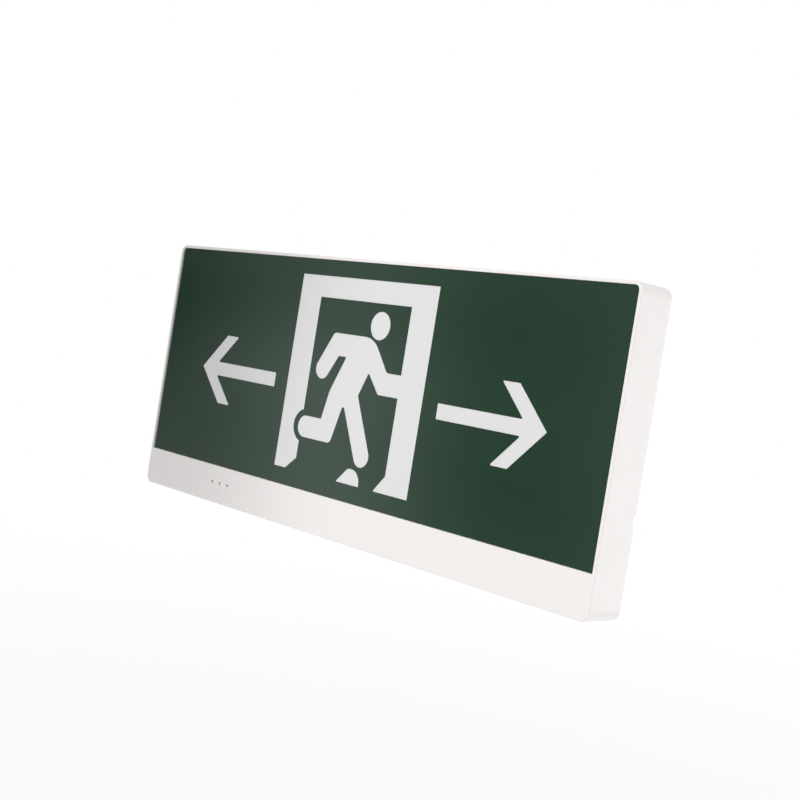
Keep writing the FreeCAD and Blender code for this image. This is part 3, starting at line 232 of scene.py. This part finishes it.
class Finish(Nodes):
    """A material under construction, with one method for each pattern that finishes need."""

    def __init__(self, name):
        self.material = bpy.data.materials.new(name)
        super().__init__(self.material)
        self.where = self.node("ShaderNodeTexCoord", {}, {}, "Object")

    def axis(self, index):
        """One of the object coordinates: 0 for x, 1 for y and 2 for z."""
        return self.where.parts()[index]

    def scaled(self, stretch):
        """Object coordinates with each axis stretched, to draw a pattern out along one."""
        return self.node("ShaderNodeMapping", {}, {"Vector": self.where, "Scale": stretch})

    def noise(self, size, detail=2.0, where=None):
        """Cloudy noise with lumps of about this size, in metres, from 0 to 1."""
        inputs = {"Vector": where or self.where, "Scale": 1 / size, "Detail": detail}
        return self.node("ShaderNodeTexNoise", {}, inputs)

    def cells(self, size, output="Distance"):
        """A field of random cells of about this size, in metres."""
        return self.node("ShaderNodeTexVoronoi", {}, {"Vector": self.where, "Scale": 1 / size}, output)

    def stripes(self, index, pitch, share):
        """1 on stripes across one axis and 0 between them; share is a stripe's part of the pitch."""
        return (self.axis(index) / pitch).does("FRACT") < share

    def bump(self, height, depth):
        """A surface relief of this height field, depth in metres."""
        return self.node("ShaderNodeBump", {}, {"Height": height, "Distance": depth, "Strength": 1.0})

    def surface(self, **sockets):
        """Ends the material in a Principled shader. A name's underscores stand for the socket's spaces."""
        inputs = {key.replace("_", " "): value for key, value in sockets.items()}
        return self.ended(self.node("ShaderNodeBsdfPrincipled", {}, inputs))

    def ended(self, shader):
        """Sends a shader to the material's output."""
        self.raw("ShaderNodeOutputMaterial", {}, {"Surface": shader})
        return self.material


def toned(colour, factor):
    """A colour made darker or lighter by a factor."""
    return tuple(min(1.0, part * factor) for part in colour)


def dressed(material, *names):
    """Gives a CAD node, or several, this finish in every material slot."""
    for name in names:
        mesh = nodes[name].data
        mesh.materials.clear()
        mesh.materials.append(material)


# ---------------------------------------------------------------- settings
def colour_property(name, description, default):
    """A colour that the user can change."""
    return bpy.props.FloatVectorProperty(
        name=name, description=description, subtype="COLOR", size=3, min=0.0, max=1.0, default=default
    )


def length_property(name, description, default):
    """A length that the user can change."""
    return bpy.props.FloatProperty(
        name=name, description=description, subtype="DISTANCE", min=0.0, default=default
    )


def power_property(name, description, default):
    """A light's power that the user can change."""
    return bpy.props.FloatProperty(name=name, description=description, unit="POWER", default=default)


class ExitLightColours(bpy.types.PropertyGroup):
    """Base colours of the parts that are seen from outside."""

    housing: colour_property("Housing", "White of the moulded cover and base", (0.86, 0.826, 0.816))
    face: colour_property("Sign face", "White of the opal panel behind the legend", (0.745, 0.737, 0.742))
    legend: colour_property("Legend green", "Green of the printed film", (0.010, 0.0385, 0.0190))
    button: colour_property("Test button", "Grey of the push button", (0.42, 0.43, 0.44))
    grommet: colour_property("Grommet", "Black of the cable grommet", (0.022, 0.022, 0.023))
    board: colour_property("Circuit board", "Green of the solder resist", (0.012, 0.10, 0.035))
    battery: colour_property("Battery sleeve", "Blue of the shrunk sleeve", (0.015, 0.11, 0.27))


class ExitLightGrain(bpy.types.PropertyGroup):
    """Sizes of the fine surface relief."""

    housing_grain: length_property("Housing grain", "Size of the moulded grain", 0.35 * MM)
    housing_depth: length_property("Grain depth", "Depth of the moulded grain", 0.004 * MM)
    legend_ripple: length_property("Film ripple", "Length of the waves in the film", 28 * MM)


class ExitLightStage(bpy.types.PropertyGroup):
    """The studio round the light."""

    key_power: power_property("Key light", "Power of the key light", 41.0)
    side_power: power_property("Side light", "Power of the side light", 6.6)
    fill_power: power_property("Fill light", "Power of the fill light", 4.0)
    bounce_power: power_property("Bounce light", "Power of the light off the floor", 0.8)
    world_level: bpy.props.FloatProperty(
        name="Room light", description="Level of the even room light", default=0.66
    )
    floor: colour_property("Floor", "Colour of the floor", (0.82, 0.82, 0.82))
    lens: bpy.props.FloatProperty(
        name="Lens", description="Focal length of the camera", default=57.74, min=1.0
    )


# ---------------------------------------------------------------- finishes seen from outside
def housing_finish(colours, grain):
    """Satin white plastic: a fine moulded grain, a slow drift of tone and a skin of uneven gloss."""
    f = Finish("white_housing")
    fine = f.noise(grain.housing_grain, 3.0)
    drift = f.noise(45 * MM, 1.0)
    rubbed = f.noise(9 * MM, 4.0)
    tone = drift.pick(toned(colours.housing, 0.985), toned(colours.housing, 1.01))
    gloss = 0.34 + 0.10 * rubbed + 0.04 * fine
    return f.surface(Base_Color=tone, Roughness=gloss, IOR=1.49, Normal=f.bump(fine, grain.housing_depth))


def face_finish(colours):
    """Opal acrylic: a polished white with the faint cloud of its pigment and a few specks."""
    f = Finish("opal_acrylic")
    cloud = f.noise(14 * MM, 3.0)
    specks = f.cells(1.1 * MM) < 0.06
    tone = cloud.pick(toned(colours.face, 0.985), toned(colours.face, 1.01))
    tone = (specks * 0.25).pick(tone, (0.70, 0.70, 0.70))
    ripple = f.bump(f.noise(30 * MM, 1.0), 0.02 * MM)
    return f.surface(Base_Color=tone, Roughness=0.16 + 0.08 * cloud, IOR=1.49, Normal=ripple)


def legend_finish(colours, grain):
    """Gloss vinyl film: long shallow ripples, a drift of tone, the odd speck of dust and a hazy skin."""
    f = Finish("legend_green")
    ripple = f.noise(grain.legend_ripple, 1.0)
    haze = f.noise(40 * MM, 3.0)
    dust = (f.cells(2.6 * MM) < 0.035) * (f.noise(20 * MM, 2.0) > 0.55)
    tone = haze.pick(toned(colours.legend, 0.93), toned(colours.legend, 1.07))
    tone = (dust * 0.2).pick(tone, (0.10, 0.13, 0.11))
    gloss = 0.09 + 0.06 * haze + 0.20 * dust
    return f.surface(Base_Color=tone, Roughness=gloss, IOR=1.46, Normal=f.bump(ripple, 0.01 * MM))


def satin_plastic(name, tone, size=0.4 * MM, depth=0.006 * MM, gloss=0.42):
    """A small moulded part: fine grain, flow marks drawn out along it, and uneven gloss."""
    f = Finish(name)
    fine = f.noise(size, 3.0)
    flow = f.noise(3 * MM, 3.0, f.scaled((0.35, 1.0, 1.0)))
    spread = flow.pick(toned(tone, 0.92), toned(tone, 1.05))
    return f.surface(Base_Color=spread, Roughness=gloss + 0.12 * flow, IOR=1.5, Normal=f.bump(fine, depth))


def rubber_finish(colours):
    """Matt rubber: bloom that greys it in patches, and a pitted skin."""
    f = Finish("grommet_rubber")
    pits = f.cells(0.5 * MM)
    bloom = f.noise(4 * MM, 4.0)
    tone = bloom.between(0.45, 0.8).pick(tuple(colours.grommet), toned(colours.grommet, 2.4))
    return f.surface(Base_Color=tone, Roughness=0.62 + 0.2 * bloom, IOR=1.52, Normal=f.bump(pits, 0.015 * MM))


# ---------------------------------------------------------------- finishes inside
def clear_finish():
    """Clear acrylic with a faint cast in its thickness and fine polishing marks."""
    f = Finish("clear_acrylic")
    marks = f.noise(1.2 * MM, 4.0, f.scaled((1.0, 1.0, 6.0)))
    return f.surface(
        Base_Color=marks.pick((0.93, 0.97, 0.96), (0.98, 0.99, 0.99)),
        Roughness=0.04 + 0.08 * marks,
        IOR=1.49,
        Transmission_Weight=0.92,
        Normal=f.bump(marks, 0.004 * MM),
    )


def sheet_finish(name, tone, dot):
    """A white optical film: minute lenses, each a cell of the relief."""
    f = Finish(name)
    lens = f.cells(dot)
    cloud = f.noise(12 * MM, 2.0)
    return f.surface(
        Base_Color=cloud.pick(toned(tone, 0.97), tone),
        Roughness=0.55 + 0.15 * cloud,
        Normal=f.bump(lens, 0.03 * MM),
    )


def plated_finish(name, tone, spangle, gloss):
    """Plated steel: crystals of slightly different grey and gloss, and fine rolling scratches."""
    f = Finish(name)
    crystal = f.cells(spangle, output="Color")
    grey = f.node("ShaderNodeRGBToBW", {}, {0: crystal})
    scratch = f.noise(0.5 * MM, 3.0, f.scaled((0.05, 1.0, 1.0)))
    return f.surface(
        Base_Color=grey.pick(toned(tone, 0.84), tone),
        Metallic=1.0,
        Roughness=gloss + 0.14 * grey + 0.08 * scratch,
        Normal=f.bump(scratch, 0.003 * MM),
    )


def strip_finish():
    """White lacquered aluminium strip: a track shows through as a faint ridge, parted at each lamp."""
    f = Finish("strip_aluminium")
    track = abs(f.axis(1) - STRIP_TRACK_Y).between(0.75 * MM, 0.65 * MM)
    gap = f.stripes(0, LAMP_PITCH, 0.06)
    copper = track * (1 - gap)
    cloud = f.noise(5 * MM, 3.0)
    tone = copper.pick(cloud.pick((0.80, 0.81, 0.80), (0.86, 0.86, 0.85)), (0.77, 0.77, 0.72))
    return f.surface(Base_Color=tone, Roughness=0.32 + 0.1 * cloud, Normal=f.bump(copper, 0.035 * MM))


def lamp_finish():
    """Small white lamps: a yellow phosphor window with a soft edge in a pale body."""
    f = Finish("lamp_phosphor")
    along = ((f.axis(0) / LAMP_PITCH).does("FRACT") - 0.5) * LAMP_PITCH
    across = f.axis(1) - LAMP_WINDOW_Y
    window = (along * along + across * across).does("SQRT").between(1.15 * MM, 0.95 * MM)
    cloud = f.noise(0.4 * MM, 3.0)
    return f.surface(
        Base_Color=window.pick((0.84, 0.83, 0.80), cloud.pick((0.80, 0.60, 0.10), (0.86, 0.68, 0.18))),
        Roughness=0.30 + 0.15 * cloud,
        Normal=f.bump(window, -0.05 * MM),
    )


def board_finish(colours):
    """A green board: tracks along in some patches and across in others, tinned vias, and a faint weave."""
    f = Finish("circuit_board")
    patch = f.noise(9 * MM, 0.0) > 0.5
    copper = patch.pick(f.stripes(2, TRACK_PITCH, 0.45), f.stripes(0, TRACK_PITCH, 0.45))
    via_x, via_z = (((f.axis(index) / VIA_PITCH).does("FRACT") - 0.5) * VIA_PITCH for index in (0, 2))
    reach = (via_x.does("POWER", 2.0) + via_z.does("POWER", 2.0)).does("SQRT")
    via = reach.between(0.45 * MM, 0.38 * MM) * (f.cells(VIA_PITCH) > 0.35)
    weave = f.stripes(0, WEAVE_PITCH, 0.5) * 0.5 + f.stripes(2, WEAVE_PITCH, 0.5) * 0.5
    green = copper.pick(tuple(colours.board), tuple(c * 1.8 + 0.004 for c in colours.board))
    tone = via.pick(green, (0.62, 0.62, 0.60))
    return f.surface(
        Base_Color=tone,
        Metallic=via * 0.9,
        Roughness=0.30 + 0.06 * weave,
        Normal=f.bump(copper + 0.1 * weave, 0.02 * MM),
    )


def ferrite_finish():
    """Sintered ferrite: near-black with grey grains and small chips."""
    f = Finish("ferrite")
    grain = f.noise(0.3 * MM, 4.0)
    chips = f.cells(1.4 * MM) < 0.12
    tone = grain.pick((0.025, 0.025, 0.027), (0.075, 0.075, 0.08))
    relief = f.bump(grain - 0.6 * chips, 0.03 * MM)
    return f.surface(Base_Color=tone, Roughness=0.55 + 0.2 * grain, Normal=relief)


def tape_finish():
    """Yellow winding tape: lapped turns, each with a darker edge."""
    f = Finish("winding_tape")
    lap = ((f.axis(2) + 0.12 * f.axis(0)) / TAPE_PITCH).does("FRACT")
    edge = lap.between(0.10, 0.0)
    cloud = f.noise(1.5 * MM, 3.0)
    tone = edge.pick(cloud.pick((0.70, 0.46, 0.03), (0.80, 0.56, 0.06)), (0.52, 0.33, 0.02))
    return f.surface(Base_Color=tone, Roughness=0.22 + 0.14 * cloud, IOR=1.55, Normal=f.bump(lap, 0.05 * MM))


def capacitor_finish():
    """Sleeved cans lying down: dark sleeves with a pale stripe, and bare ends with a scored vent."""
    f = Finish("capacitor_sleeve")
    x, y, z = f.where.parts()
    end = x > CAN_END_X
    front = y.between(*CAN_FRONT_Y)
    upper, lower = (abs(z - axis) for axis in CAN_AXES_Z)
    off_axis = upper.does("MINIMUM", lower)
    stripe = off_axis.between(1.5 * MM, 1.3 * MM) * front * (1 - end)
    cross = abs(y - CAN_AXIS_Y).does("MINIMUM", off_axis)
    score = cross.between(0.25 * MM, 0.12 * MM) * end
    cloud = f.noise(0.8 * MM, 2.0)
    sleeve = stripe.pick(cloud.pick((0.010, 0.012, 0.030), (0.016, 0.018, 0.042)), (0.55, 0.56, 0.60))
    return f.surface(
        Base_Color=end.pick(sleeve, (0.78, 0.78, 0.79)),
        Metallic=end * 0.95,
        Roughness=0.24 + 0.16 * cloud,
        Normal=f.bump(cloud - score * 2.0, 0.02 * MM),
    )


def glass_finish():
    """A thin glass tube with a hair of wire showing as a darker band inside it."""
    f = Finish("fuse_glass")
    ripple = f.noise(2 * MM, 2.0)
    wire = abs(f.axis(2) - FUSE_WIRE_Z).between(0.35 * MM, 0.15 * MM)
    return f.surface(
        Base_Color=wire.pick((0.94, 0.97, 0.96), (0.35, 0.33, 0.30)),
        Roughness=0.03 + 0.03 * ripple,
        IOR=1.51,
        Transmission_Weight=0.9,
        Normal=f.bump(ripple, 0.01 * MM),
    )


def chip_finish():
    """Black epoxy: fine matt grain under a slow drift of tone."""
    f = Finish("chip_epoxy")
    grain = f.noise(0.15 * MM, 3.0)
    cloud = f.noise(3 * MM, 2.0)
    tone = cloud.pick((0.018, 0.018, 0.019), (0.034, 0.034, 0.036))
    return f.surface(Base_Color=tone, Roughness=0.48 + 0.16 * grain, Normal=f.bump(grain, 0.01 * MM))


def winding_finish():
    """Enamelled wire wound side by side: round ridges across the axis, with painted shade in the grooves and
    a painted warm highlight on the crests.
    """
    f = Finish("copper_winding")
    turn = abs((f.axis(1) / WIRE_PITCH).does("FRACT") - 0.5) * 2
    crest_and_painted_shade = (1 - turn * turn).does("SQRT")
    # Painted light: the copper is darker in the grooves between turns as painted shade and lighter on each
    # crest as a painted highlight.
    tone = crest_and_painted_shade.pick((0.20, 0.05, 0.015), (0.62, 0.25, 0.10))
    relief = f.bump(crest_and_painted_shade, 0.12 * MM)
    return f.surface(Base_Color=tone, Metallic=0.75, Roughness=0.32 - 0.1 * crest_and_painted_shade, Normal=relief)


def battery_finish(colours):
    """Shrunk sleeve: taut over the cells with fine puckers drawn towards its ends."""
    f = Finish("battery_sleeve")
    end = abs(f.axis(0) - BATTERY_MIDDLE_X).between(18 * MM, 22.5 * MM)
    pucker = f.noise(1.2 * MM, 3.0, f.scaled((0.2, 1.0, 1.0)))
    cloud = f.noise(9 * MM, 2.0)
    tone = cloud.pick(toned(colours.battery, 0.85), toned(colours.battery, 1.1))
    relief = f.bump(pucker * (0.25 + end), 0.18 * MM)
    return f.surface(Base_Color=tone, Roughness=0.22 + 0.12 * pucker, IOR=1.54, Normal=relief)


def sleeve_finish(name, tone):
    """Lead insulation: a soft sheen, a fine uneven skin and a slow drift of tone."""
    f = Finish(name)
    ring = f.noise(0.8 * MM, 2.0)
    cloud = f.noise(6 * MM, 3.0)
    return f.surface(
        Base_Color=cloud.pick(toned(tone, 0.85), toned(tone, 1.12)),
        Roughness=0.40 + 0.12 * ring,
        IOR=1.5,
        Normal=f.bump(ring, 0.01 * MM),
    )


# ---------------------------------------------------------------- operators
class ExitLightStep(bpy.types.Operator):
    """One step in finishing the light."""

    bl_options = {"REGISTER", "UNDO"}

    def execute(self, context):
        self.work(context.scene)
        return {"FINISHED"}


class EXITLIGHT_OT_housing(ExitLightStep):
    """Finish the moulded front cover and rear base"""

    bl_idname = "exit_light.housing"
    bl_label = "Housing"

    def work(self, scene):
        material = housing_finish(scene.exit_light_colours, scene.exit_light_grain)
        dressed(material, "front_cover", "rear_base")


class EXITLIGHT_OT_sign_face(ExitLightStep):
    """Finish the opal panel and the printed legend film"""

    bl_idname = "exit_light.sign_face"
    bl_label = "Sign face"

    def work(self, scene):
        dressed(face_finish(scene.exit_light_colours), "face_panel")
        dressed(legend_finish(scene.exit_light_colours, scene.exit_light_grain), "legend_film")


class EXITLIGHT_OT_light_box(ExitLightStep):
    """Finish the sheets behind the panel and the plate that backs them"""

    bl_idname = "exit_light.light_box"
    bl_label = "Light box"

    def work(self, scene):
        dressed(sheet_finish("diffuser_film", (0.88, 0.88, 0.87), dot=0.6 * MM), "diffuser_sheet")
        dressed(sheet_finish("reflector_film", (0.91, 0.91, 0.90), dot=1.2 * MM), "reflector_sheet")
        dressed(clear_finish(), "light_guide", "light_pipe")
        zinc = plated_finish("zinc_steel", (0.66, 0.67, 0.68), spangle=6 * MM, gloss=0.30)
        dressed(zinc, "backing_plate")


class EXITLIGHT_OT_lamps(ExitLightStep):
    """Finish the lamp strip and its lamps"""

    bl_idname = "exit_light.lamps"
    bl_label = "Lamp strip"

    def work(self, scene):
        dressed(strip_finish(), "lamp_strip")
        dressed(lamp_finish(), "strip_lamps")


class EXITLIGHT_OT_control_gear(ExitLightStep):
    """Finish the boards and everything soldered to them"""

    bl_idname = "exit_light.control_gear"
    bl_label = "Control gear"

    def work(self, scene):
        dressed(board_finish(scene.exit_light_colours), "control_board", "indicator_board")
        dressed(ferrite_finish(), "transformer_core")
        dressed(tape_finish(), "transformer_coil")
        dressed(capacitor_finish(), "electrolytic_capacitors")
        case = satin_plastic("film_case", (0.62, 0.46, 0.08), size=0.3 * MM, depth=0.01 * MM, gloss=0.30)
        dressed(case, "film_capacitor")
        dressed(glass_finish(), "fuse_tube")
        nickel = plated_finish("nickel", (0.72, 0.70, 0.66), spangle=0.8 * MM, gloss=0.16)
        dressed(nickel, "fuse_caps", "terminal_screws")
        brass = plated_finish("clip_brass", (0.78, 0.60, 0.28), spangle=0.8 * MM, gloss=0.20)
        dressed(brass, "fuse_clips")
        dressed(chip_finish(), "driver_chips", "rectifier_bridge")
        dressed(winding_finish(), "drum_choke")
        nylon = satin_plastic(
            "natural_nylon", (0.78, 0.76, 0.66), size=0.3 * MM, depth=0.008 * MM, gloss=0.36
        )
        dressed(nylon, "board_connectors", "lead_plugs")


class EXITLIGHT_OT_supply(ExitLightStep):
    """Finish the battery pack, the terminal block and the cable grommet"""

    bl_idname = "exit_light.supply"
    bl_label = "Battery and supply"

    def work(self, scene):
        dressed(battery_finish(scene.exit_light_colours), "battery_pack")
        polyamide = satin_plastic(
            "grey_polyamide", (0.58, 0.58, 0.57), size=0.3 * MM, depth=0.01 * MM, gloss=0.40
        )
        dressed(polyamide, "terminal_block")
        dressed(rubber_finish(scene.exit_light_colours), "cable_grommet")


class EXITLIGHT_OT_screws(ExitLightStep):
    """Finish the zinc-plated screws"""

    bl_idname = "exit_light.screws"
    bl_label = "Screws"

    def work(self, scene):
        material = plated_finish("screw_steel", (0.68, 0.68, 0.66), spangle=0.7 * MM, gloss=0.22)
        dressed(material, "backing_screws", "board_screws", "indicator_screws", "terminal_fixing_screws")


class EXITLIGHT_OT_indicators(ExitLightStep):
    """Finish the indicator lamps, the test switch and its button"""

    bl_idname = "exit_light.indicators"
    bl_label = "Indicators and test button"

    def work(self, scene):
        lens = satin_plastic(
            "indicator_lens", (0.72, 0.76, 0.70), size=0.2 * MM, depth=0.004 * MM, gloss=0.18
        )
        dressed(lens, "indicator_lamps")
        black = satin_plastic(
            "switch_black", (0.025, 0.025, 0.026), size=0.3 * MM, depth=0.008 * MM, gloss=0.38
        )
        dressed(black, "test_switch", "switch_plunger")
        colours = scene.exit_light_colours
        grey = satin_plastic(
            "button_grey", tuple(colours.button), size=0.3 * MM, depth=0.006 * MM, gloss=0.36
        )
        dressed(grey, "test_button")


class EXITLIGHT_OT_leads(ExitLightStep):
    """Finish the three inner leads"""

    bl_idname = "exit_light.leads"
    bl_label = "Inner leads"

    def work(self, scene):
        material = sleeve_finish("lead_sleeve", (0.42, 0.02, 0.02))
        dressed(material, "battery_lead", "indicator_lead", "lamp_lead")


# ---------------------------------------------------------------- stage
def aimed(name, lamp, place, target):
    """Stands a light at a place, turned towards a target and unseen by the camera."""
    light = bpy.data.objects.new(name, lamp)
    light.location = place
    light.rotation_euler = (Vector(target) - Vector(place)).to_track_quat("-Z", "Y").to_euler()
    light.visible_camera = False
    bpy.context.scene.collection.objects.link(light)
    return light


def soft_box(name, place, target, size, power):
    """A rectangular studio light, its size given as width and height."""
    lamp = bpy.data.lights.new(name, "AREA")
    lamp.shape = "RECTANGLE"
    lamp.size, lamp.size_y = size
    lamp.energy = power
    aimed(name, lamp, place, target)


def beam(name, place, target, power):
    """A soft-edged spot that leaves no mirror image of itself."""
    lamp = bpy.data.lights.new(name, "SPOT")
    lamp.energy = power
    lamp.spot_size = KEY_SPREAD
    lamp.spot_blend = KEY_BLEND
    lamp.shadow_soft_size = KEY_RADIUS
    aimed(name, lamp, place, target).visible_glossy = False


def flat_sheet(name, corner, u_edge, v_edge, steps=8):
    """A flat sheet swept from a grid of u and v in 0..1: corner + u * u_edge + v * v_edge."""
    u, v = np.meshgrid(np.linspace(0, 1, steps + 1), np.linspace(0, 1, steps + 1), indexing="ij")
    points = np.array(corner) + u[..., None] * np.array(u_edge) + v[..., None] * np.array(v_edge)
    row = steps + 1
    first = (np.arange(steps)[:, None] * row + np.arange(steps)).reshape(-1)
    faces = np.stack([first, first + row, first + row + 1, first + 1], -1)
    mesh = bpy.data.meshes.new(name)
    mesh.from_pydata(points.reshape(-1, 3), [], faces)
    return mesh


def floor_finish(tone):
    """A pale floor that reads as white to the eye and still takes the light's shadow."""
    f = Finish(STAGE_NAME + "_floor")
    cloud = f.noise(0.4, 2.0)
    shade = cloud.pick(toned(tone, 0.98), toned(tone, 1.01))
    x, y = f.axis(0), f.axis(1)
    away = (x * x + y * y).does("SQRT").between(*FLOOR_FADE)
    share = away.pick(FLOOR_WHITENESS, 1.0)
    lit = f.node("ShaderNodeBsdfDiffuse", {}, {"Color": shade})
    white = f.node("ShaderNodeEmission", {}, {"Color": (1.0, 1.0, 1.0), "Strength": 1.0})
    return f.ended(f.node("ShaderNodeMixShader", {}, {0: f.seen_directly() * share, 1: lit, 2: white}))


def card_finish():
    """The card's glow: an even level raised and lowered by broad soft pools, and one darker corner."""
    f = Finish(STAGE_NAME + "_card")
    x, z = f.axis(0), f.axis(2)
    glow = CARD_LEVEL
    for strength, middle_x, middle_z, width, height in CARD_POOLS:
        across = (x - middle_x) / width
        up = (z - middle_z) / height
        glow = glow + strength * (0 - across * across - up * up).does("EXPONENT")
    past_line = x - CORNER_X - CORNER_SLANT * (z - CORNER_Z)
    corner = past_line.between(CORNER_SOFTNESS, -CORNER_SOFTNESS) * z.between(*CORNER_FOOT)
    glow = glow.does("MAXIMUM", 0.0) * (1 - CORNER_SHADE * corner)
    return f.ended(f.node("ShaderNodeEmission", {}, {"Color": glow, "Strength": 1.0}))


class EXITLIGHT_OT_stage(ExitLightStep):
    """Set up the floor, the room light, the studio lights and the camera"""

    bl_idname = "exit_light.stage"
    bl_label = "Studio stage"

    def work(self, scene):
        stage = scene.exit_light_stage
        self.floor(scene, stage)
        self.room(scene, stage)
        self.card(scene)
        self.lights(stage)
        self.camera(scene, stage)
        scene.view_settings.view_transform = "Standard"

    def floor(self, scene, stage):
        """A wide pale floor under the light."""
        name = STAGE_NAME + "_floor"
        corner = (-FLOOR_REACH, -FLOOR_REACH, cad_box[0].z - FLOOR_DROP)
        sheet = flat_sheet(name, corner, (2 * FLOOR_REACH, 0, 0), (0, 2 * FLOOR_REACH, 0))
        floor = bpy.data.objects.new(name, sheet)
        floor.data.materials.append(floor_finish(tuple(stage.floor)))
        scene.collection.objects.link(floor)

    def card(self, scene):
        """A dim card before the sign, with a soft glow that the gloss film mirrors."""
        name = STAGE_NAME + "_card"
        up, along = (0, 0, CARD_Z[1] - CARD_Z[0]), (CARD_X[1] - CARD_X[0], 0, 0)
        card = bpy.data.objects.new(name, flat_sheet(name, (CARD_X[0], CARD_Y, CARD_Z[0]), up, along))
        card.data.materials.append(card_finish())
        card.visible_camera = False
        card.visible_diffuse = False
        card.visible_shadow = False
        card.visible_transmission = False
        scene.collection.objects.link(card)

    def room(self, scene, stage):
        """White all round to the eye, and a dimmer even light on things."""
        world = bpy.data.worlds.new(STAGE_NAME + "_room")
        n = Nodes(world)
        level = n.seen_directly().pick(stage.world_level, 1.0)
        background = n.node("ShaderNodeBackground", {}, {"Color": (1.0, 1.0, 1.0), "Strength": level})
        n.raw("ShaderNodeOutputWorld", {}, {"Surface": background})
        scene.world = world

    def lights(self, stage):
        """The studio lights; their powers are settings."""
        soft_box("side", SIDE_PLACE, SIGN_MIDDLE, SIDE_SIZE, stage.side_power)
        soft_box("fill", FILL_PLACE, SIGN_MIDDLE, FILL_SIZE, stage.fill_power)
        beam("key", KEY_PLACE, KEY_TARGET, stage.key_power)
        soft_box("bounce", BOUNCE_PLACE, BOUNCE_TARGET, BOUNCE_SIZE, stage.bounce_power)

    def camera(self, scene, stage):
        """The camera, to the right of the sign and a little above its middle."""
        data = bpy.data.cameras.new("camera")
        data.lens = stage.lens
        data.sensor_width = SENSOR_WIDTH
        data.clip_start = 0.01
        camera = bpy.data.objects.new("camera", data)
        forward = Vector(CAMERA_FORWARD).normalized()
        up = Vector(CAMERA_UP).normalized()
        turned = Matrix((forward.cross(up), up, -forward)).transposed().to_4x4()
        camera.matrix_world = Matrix.Translation(CAMERA_PLACE) @ turned
        scene.collection.objects.link(camera)
        scene.camera = camera


STEPS = [
    EXITLIGHT_OT_housing,
    EXITLIGHT_OT_sign_face,
    EXITLIGHT_OT_light_box,
    EXITLIGHT_OT_lamps,
    EXITLIGHT_OT_control_gear,
    EXITLIGHT_OT_supply,
    EXITLIGHT_OT_screws,
    EXITLIGHT_OT_indicators,
    EXITLIGHT_OT_leads,
    EXITLIGHT_OT_stage,
]


class EXITLIGHT_PT_panel(bpy.types.Panel):
    """Lists the steps and settings of the light"""

    bl_idname = "EXITLIGHT_PT_panel"
    bl_label = "Exit Light"
    bl_space_type = "VIEW_3D"
    bl_region_type = "UI"
    bl_category = "Exit Light"

    def draw(self, context):
        layout = self.layout
        for group in ("exit_light_colours", "exit_light_grain", "exit_light_stage"):
            settings = getattr(context.scene, group)
            box = layout.box()
            for key in settings.__annotations__:
                box.prop(settings, key)
        for step in STEPS:
            layout.operator(step.bl_idname)


GROUPS = {
    "exit_light_colours": ExitLightColours,
    "exit_light_grain": ExitLightGrain,
    "exit_light_stage": ExitLightStage,
}
CLASSES = [*GROUPS.values(), *STEPS, EXITLIGHT_PT_panel]


def register():
    """Registers the classes and hangs the settings on the scene."""
    for cls in CLASSES:
        bpy.utils.register_class(cls)
    for name, group in GROUPS.items():
        setattr(bpy.types.Scene, name, bpy.props.PointerProperty(type=group))


def unregister():
    """Takes the settings and the classes away again."""
    for name in GROUPS:
        delattr(bpy.types.Scene, name)
    for cls in reversed(CLASSES):
        bpy.utils.unregister_class(cls)


def main():
    """Runs every step in order on the loaded frame."""
    register()
    for step in STEPS:
        group, name = step.bl_idname.split(".")
        getattr(getattr(bpy.ops, group), name)()


if __name__ == "__main__":
    main()
